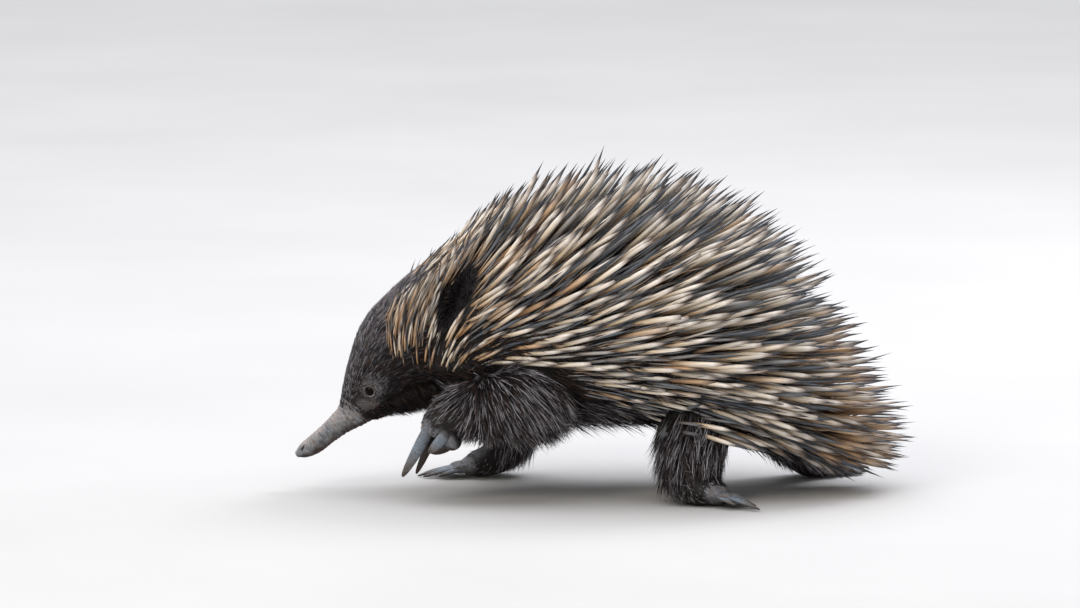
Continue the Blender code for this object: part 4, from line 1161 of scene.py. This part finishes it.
# Coarse hair, a little glossy along its length, darkest at the root: partly its own colour and partly
# painted shade among the roots.
pelt = finish("dark_fur", Roughness=0.42, IOR=1.55, Specular_IOR_Level=0.26)
hair_values, round_hair = lay(pelt, "Attribute", out=("Color", "Alpha"), attribute_name="quill")
along, hair_kind, hair_shade = lay(pelt, "SeparateColor", {"Color": hair_values}, ("Red", "Green", "Blue"))
dark_hair, brown_hair, glint_and_sheen_hair = [
    lay(pelt, "ValToRGB", {"Fac": along}, stops=tuple(zip((0.0, 0.5, 1.0), colours)))
    for colours in (
        ("#070404", "#181213", "#302a2b"),
        ("#150d0a", "#483329", "#775b48"),
        ("#2b2728", "#827f84", "#cac7cb"),
    )
]
# The kind runs from -1, brown, over 0, near black, to 1, grey, the hairs that paint glints and sheen.
brown_share = lay(pelt, "Math", {0: hair_kind, 1: -1.0}, operation="MULTIPLY", use_clamp=True)
hair_tones = lay(pelt, "Mix", {0: brown_share, 6: dark_hair, 7: brown_hair}, **COVER)
hair_tones = lay(pelt, "Mix", {0: hair_kind, 6: hair_tones, 7: glint_and_sheen_hair}, **COVER)
each_hair = lay(pelt, "MapRange", {"Value": hair_shade, "To Min": 0.5, "To Max": 1.6})
hair_tones = lay(pelt, "Mix", {0: 1.0, 6: hair_tones, 7: each_hair}, **DARKEN)
strand = lay(pelt, "CombineXYZ", {"X": round_hair, "Y": along, "Z": hair_shade})
strand = lay(pelt, "VectorMath", {0: strand, 1: (9.0, 2.0, 40.0)}, operation="MULTIPLY")
strand = lay(pelt, "TexNoise", {"Vector": strand, "Scale": 1.0, "Detail": 2.0})
strand_gloss = lay(pelt, "MapRange", {"Value": strand, "To Min": 0.32, "To Max": 0.56})
feed(pelt, Base_Color=hair_tones, Roughness=strand_gloss)


def clear_of_eye(points):
    free = np.ones(len(points), bool)
    for spot in EYES:
        ahead, up, out = spot.local(points)
        away = np.hypot(ahead, up) + 0.0011 * ripple(points, 0.006, 3)
        free &= ~((away < 0.0060) & (np.abs(out) < EYE_DEEP))
    return free


def short_by_eye(points):
    """The share of its length that a hair has near an eye."""
    left = np.ones(len(points))
    for spot in EYES:
        ahead, up, out = spot.local(points)
        near = (np.hypot(ahead, up) - 0.003) / 0.011 + (np.abs(out) > EYE_DEEP)
        left = np.minimum(left, np.clip(near, 0.3, 1))
    return left


def laid_flat(way, out):
    """Directions turned into the plane of the hide."""
    return unit(way - go(out, (way * out).sum(-1)))


def trunk_fur(name, places, angles, count, density, lengths, width, lift, droop, seed,
              profile=HAIR_PROFILE, tone_and_highlight=0.0, flat=0.6, bend=0.0, sunk=0.0012, stray=1.0,
              strong=(0.4, 1.0)):
    """Locks on the trunk that lie towards the tail, and down by droop."""
    draw = np.random.default_rng(seed)
    place, angle = strew(trunk, places, angles, count, density, draw)
    out, along = outward(trunk, place, angle)
    root = trunk(place, angle, -hide_depth(place))
    keep = (outside(root + out * 0.0015) > 0) & clear_of_eye(root) & clear_of_ear(root, 0.0015)
    place, angle, out, along, root = [v[keep] for v in (place, angle, out, along, root)]
    count = len(root)
    falls = droop(place, angle) if callable(droop) else np.full(count, droop)
    way = laid_flat(along + go(np.array((0, 0, -1.0)), falls), out)
    comb = stray * (0.30 * ripple(root, 0.012, seed + 1) + draw.normal(0, 0.16, count))
    way = way + go(np.cross(along, out), comb) + go(out, lift + stray * draw.normal(0, 0.07, count))
    length = lengths(place, angle) * draw.uniform(0.65, 1.2, count) * short_by_eye(root)
    way[(root + go(unit(way), length))[:, 2] < 0.003] += np.array((0, 0, 0.5))
    # Grey hairs paint glints and sheen; brown ones are the coat's own colour.
    tone_and_glint_share = tone_and_highlight(place, angle) if callable(tone_and_highlight) else tone_and_highlight
    tone_and_glint_hairs = draw.random(count) < np.abs(tone_and_glint_share)
    kind = np.where(tone_and_glint_hairs, draw.uniform(*strong, count) * np.sign(tone_and_glint_share), 0.0)
    planted(name, pelt, grow(
        root - out * sunk, way, out, length, width * draw.uniform(0.7, 1.25, count), profile,
        flat=flat, bend=bend + stray * draw.normal(0, 0.06, count),
        sway=stray * draw.normal(0, 0.08, count),
        kind=kind, shade=draw.random(count), chart=trunk_chart(place, angle),
    ))


def face_cover(place, angle):
    """Thin by the beak and below the eye, full from there on."""
    points = trunk(place, angle)
    cover = share((place - 5.30 + 0.45 * share(np.cos(angle))) / 0.5)
    cheek = np.hypot((points[..., 0] + 0.1630) / 0.0105, (points[..., 2] - 0.0602) / 0.0060)
    cover = cover * np.clip(cheek * 1.6 - 1.2, 0.06, 1)
    return cover * share((HAIRLINE + 1.2 + 0.4 * np.cos(angle) - place) / 0.6)


def face_sheen_and_brown(place, angle):
    """The share of grey hairs, most on the forehead where they paint a sheen, and round the eye, or of
    brown ones, most on the throat.
    """
    grey = 0.10 + 0.50 * share((1.8 - np.abs(angle)) / 0.9)
    brown = 0.22 - 0.06 * share((np.abs(angle) - 1.9) / 0.5)
    points = trunk(place, angle)
    round_eye = np.hypot(points[..., 0] + 0.1592, points[..., 2] - 0.0718) / MM < 9.8
    grey = np.maximum(grey, 0.42 * round_eye)
    return np.where((ripple(points, 0.0016, 51) > -0.1) | round_eye, grey, -brown)


def along_body(at, values):
    """A value that changes from section to section of the trunk."""
    return lambda place, angle: np.interp(place, at, values)


trunk_fur(
    "face_fur", (4.8, 10.4), (-math.pi, math.pi), 33000, face_cover,
    along_body((5.0, 6.0, 8.0, 9.8), (0.0024, 0.0046, 0.0078, 0.0100)),
    0.00021, 0.20, 0.05, 21, tone_and_highlight=face_sheen_and_brown, bend=-0.06, sunk=0.0003, stray=0.45, strong=(0.35, 0.95),
)
trunk_fur(
    "throat_fringe", (5.9, 9.6), (-math.pi, math.pi), 2600, lambda p, a: (np.abs(a) > 2.2) * 1.0,
    along_body((5.9, 7.0, 7.6, 9.6), (0.0030, 0.0060, 0.0120, 0.0150)),
    0.00036, 1.15, 0.55, 25, tone_and_highlight=-0.18, sunk=0.0003, stray=0.8,
)
trunk_fur(
    "under_fur", (HAIRLINE, TAIL_END - 0.1), (-2.9, 2.9), 11000,
    lambda p, a: (np.abs(a) < lowest_row(p) + 0.05) * 1.0,
    along_body((8.0, 10.0, 12.0, 19.0), (0.008, 0.010, 0.016, 0.015)), 0.0005, 0.26, 0.1, 22,
    tone_and_highlight=along_body((9.0, 10.0, 11.2, 12.0, 16.0, 17.5), (-0.85, -0.85, -0.75, -0.5, -0.25, -0.7)),
)
trunk_fur(
    "belly_fur", (8.6, TAIL_END - 0.05), (-math.pi, math.pi), 13500,
    lambda p, a: (np.abs(a) > lowest_row(p) - 0.22) * 1.0,
    along_body((8.6, 10.5, 12.5, 14.5, 16.0, 19.0), (0.009, 0.014, 0.017, 0.014, 0.007, 0.006)),
    0.00045, 0.34, 0.25, 23, tone_and_highlight=-0.25,
)

# Short black hair lines the opening of each ear, and a fringe stands along its edge.
for spot, (side_name, _) in zip(EARS, SIDES):
    draw = np.random.default_rng(41)
    count = 2200
    turn = draw.uniform(0, 2 * math.pi, count)
    away = np.sqrt(draw.uniform(0.0, 1.35, count))
    root, out = [], []
    for point in spot.at(EAR_HALF_WIDTH * away * np.cos(turn), EAR_HALF_HEIGHT * away * np.sin(turn), 0.0):
        hit, normal, _, _ = onto_hide(point, spot.out)
        root.append(hit if hit else Vector(point))
        out.append(normal if hit else Vector(spot.out))
    root, out = np.array(root), np.array(out)
    inward = go(-spot.ahead, np.cos(turn)) - go(spot.up, np.sin(turn))
    way = spot.up * 0.8 - spot.ahead * 0.5 + inward * 0.25 + draw.normal(0, 0.2, (count, 3)) + out * 0.45
    ear_place = spot.place - away * np.cos(turn) * 0.35
    ear_angle = spot.angle - np.sign(spot.angle) * away * np.sin(turn) * 0.4
    planted(side_name + "_ear_hair", pelt, grow(
        root - out * 0.0005, way, out, draw.uniform(0.004, 0.009, count), 0.0003, HAIR_PROFILE,
        flat=0.6, bend=draw.normal(-0.05, 0.06, count), sway=draw.normal(0, 0.1, count),
        shade=draw.uniform(0.0, 0.25, count), chart=trunk_chart(ear_place, ear_angle),
    ))

# Coarse bristles hang from the lower flank over the shoulder and thigh, a few of them pale grey, which
# paints their glints.
trunk_fur(
    "flank_bristles", (9.6, 18.6), (-3.0, 3.0), 8600,
    lambda p, a: share(1.2 - np.abs(np.abs(a) - lowest_row(p) - 0.20) / 0.30)
    * np.interp(p, (12.5, 13.5), (1.6, 0.9)),
    along_body((9.6, 10.6, 11.5, 14.0, 18.5), (0.016, 0.030, 0.036, 0.034, 0.022)),
    0.0005, 0.22, along_body((10.0, 12.2, 13.5), (0.9, 0.75, 0.25)), 24,
    profile=LONG_HAIR_PROFILE, tone_and_highlight=0.34, flat=0.8, bend=0.04,
)

# Each leg's locks lie towards the toes and shorten to them; those of the lifted arm fan out from
# the shoulder.
SHOULDER = np.array((-0.106, -0.046, 0.134))
for number, leg_name in enumerate(LEG_ROWS):
    seed, count = 31 + number, 11500 if leg_name == LIFTED else 5200
    draw = np.random.default_rng(seed)
    surface = lambda p, a, s=0.0: leg(leg_name, p, a, s)
    place, angle = strew(
        surface, (0.3, 4.55), (-math.pi, math.pi), count,
        lambda p, a: share((4.7 - p) / 0.9) * np.where(p > 3.9, np.cos(a) > -0.1, 1.0), draw,
    )
    out, along = outward(surface, place, angle)
    root = surface(place, angle, -leg_depth(place))
    keep = outside(root + out * 0.0015) > 0
    place, angle, out, along, root = [v[keep] for v in (place, angle, out, along, root)]
    count = len(root)
    fan = share((2.7 - place) / 0.8) * (leg_name == LIFTED)
    way = go(along, 1 - fan) + np.array((0.12, 0, -0.22))
    way += go(unit(root - SHOULDER) + np.array((0.1, 0, -0.35)), fan)
    way = laid_flat(way, out)
    comb = 0.20 * ripple(root, 0.016, seed + 1) + draw.normal(0, 0.10, count)
    way = way + go(np.cross(along, out), comb) + go(out, 0.24 + draw.normal(0, 0.07, count))
    length = np.interp(place, (0.3, 1.6, 2.6, 3.4, 4.4), (0.027, 0.026, 0.016, 0.009, 0.0045))
    length = length * draw.uniform(0.6, 1.2, count)
    for _ in range(6):
        way[(root + go(unit(way), length))[:, 2] < 0.0015] += np.array((0, 0, 0.25))
    # Three in ten locks are grey, which paints glints on the legs; a few are brown.
    drawn = draw.random(count)
    kind = np.where(drawn < 0.30, draw.uniform(0.75, 1.25, count), np.where(drawn > 0.87, -0.4, -0.05))
    planted(leg_name + "_fur", pelt, grow(
        root - out * 0.0012, way, out, length, 0.00032 * draw.uniform(0.7, 1.3, count),
        LONG_HAIR_PROFILE, flat=0.6, bend=draw.normal(-0.05, 0.06, count), sway=draw.normal(0, 0.08, count),
        kind=kind, shade=draw.random(count), chart=leg_chart(leg_name, place, angle),
    ))

# The floor. A plain pale sheet that the animal stands on.
matte = finish("pale_floor", Roughness=0.8)  # dull paint with faint clouds, so that nothing glares
floor_noise = lay(matte, "TexNoise",
                  {"Vector": lay(matte, "TexCoord", out="Object"), "Scale": 3.0, "Detail": 3.0})
floor_tones = lay(matte, "ValToRGB", {"Fac": floor_noise}, stops=((0.3, "#b8b6b3"), (0.7, "#bdbbb8")))
feed(matte, Base_Color=floor_tones)
floor = whole("floor", np.array(((-15, -15, 0), (15, -15, 0), (15, 15, 0), (-15, 15, 0)), float),
              [(0, 1, 2, 3)])
floor.data.materials.append(matte)

# The light. A wide soft sky overhead, a softer light from the front left and a weak one behind.
world = bpy.data.worlds.new("studio")
bpy.context.scene.world = world
bpy.context.scene.view_settings.view_transform = "Standard"
world.use_nodes = True
world.node_tree.nodes["Background"].inputs["Color"].default_value = linear("#e9ebee")
world.node_tree.nodes["Background"].inputs["Strength"].default_value = 0.66


def soft_light(name, place, target, size, power, colour):
    lamp = bpy.data.lights.new(name, "AREA")
    lamp.shape, lamp.size, lamp.energy, lamp.color = "DISK", size, power, linear(colour)[:3]
    made = bpy.data.objects.new(name, lamp)
    bpy.context.scene.collection.objects.link(made)
    made.location = place
    made.rotation_euler = (Vector(target) - Vector(place)).to_track_quat("-Z", "Y").to_euler()


soft_light("sky", (0, 1.5, 6.0), (0, 1.5, 0), 10.0, 640, "#f3f6ff")
soft_light("front", (-1.3, -2.0, 1.6), (0, 0, 0.1), 1.2, 28, "#fff6ea")
soft_light("back", (1.2, 1.2, 1.8), (0, 0, 0.1), 1.0, 26, "#f4f6ff")

# The camera. A long lens, level with the animal and looking down on it by seven degrees.
lens_mm, sensor_mm, frame_width, look_down = 250.0, 36.0, 0.7344, math.radians(7)
target = Vector((-0.0449, 0.0, 0.1274))
lens = bpy.data.cameras.new("camera")
lens.lens, lens.sensor_width, lens.clip_end = lens_mm, sensor_mm, 100.0
camera = bpy.data.objects.new("camera", lens)
bpy.context.scene.collection.objects.link(camera)
back_off = Vector((0, -math.cos(look_down), math.sin(look_down)))
camera.location = target + back_off * (frame_width * lens_mm / sensor_mm)
camera.rotation_euler = (target - camera.location).to_track_quat("-Z", "Y").to_euler()
bpy.context.scene.camera = camera
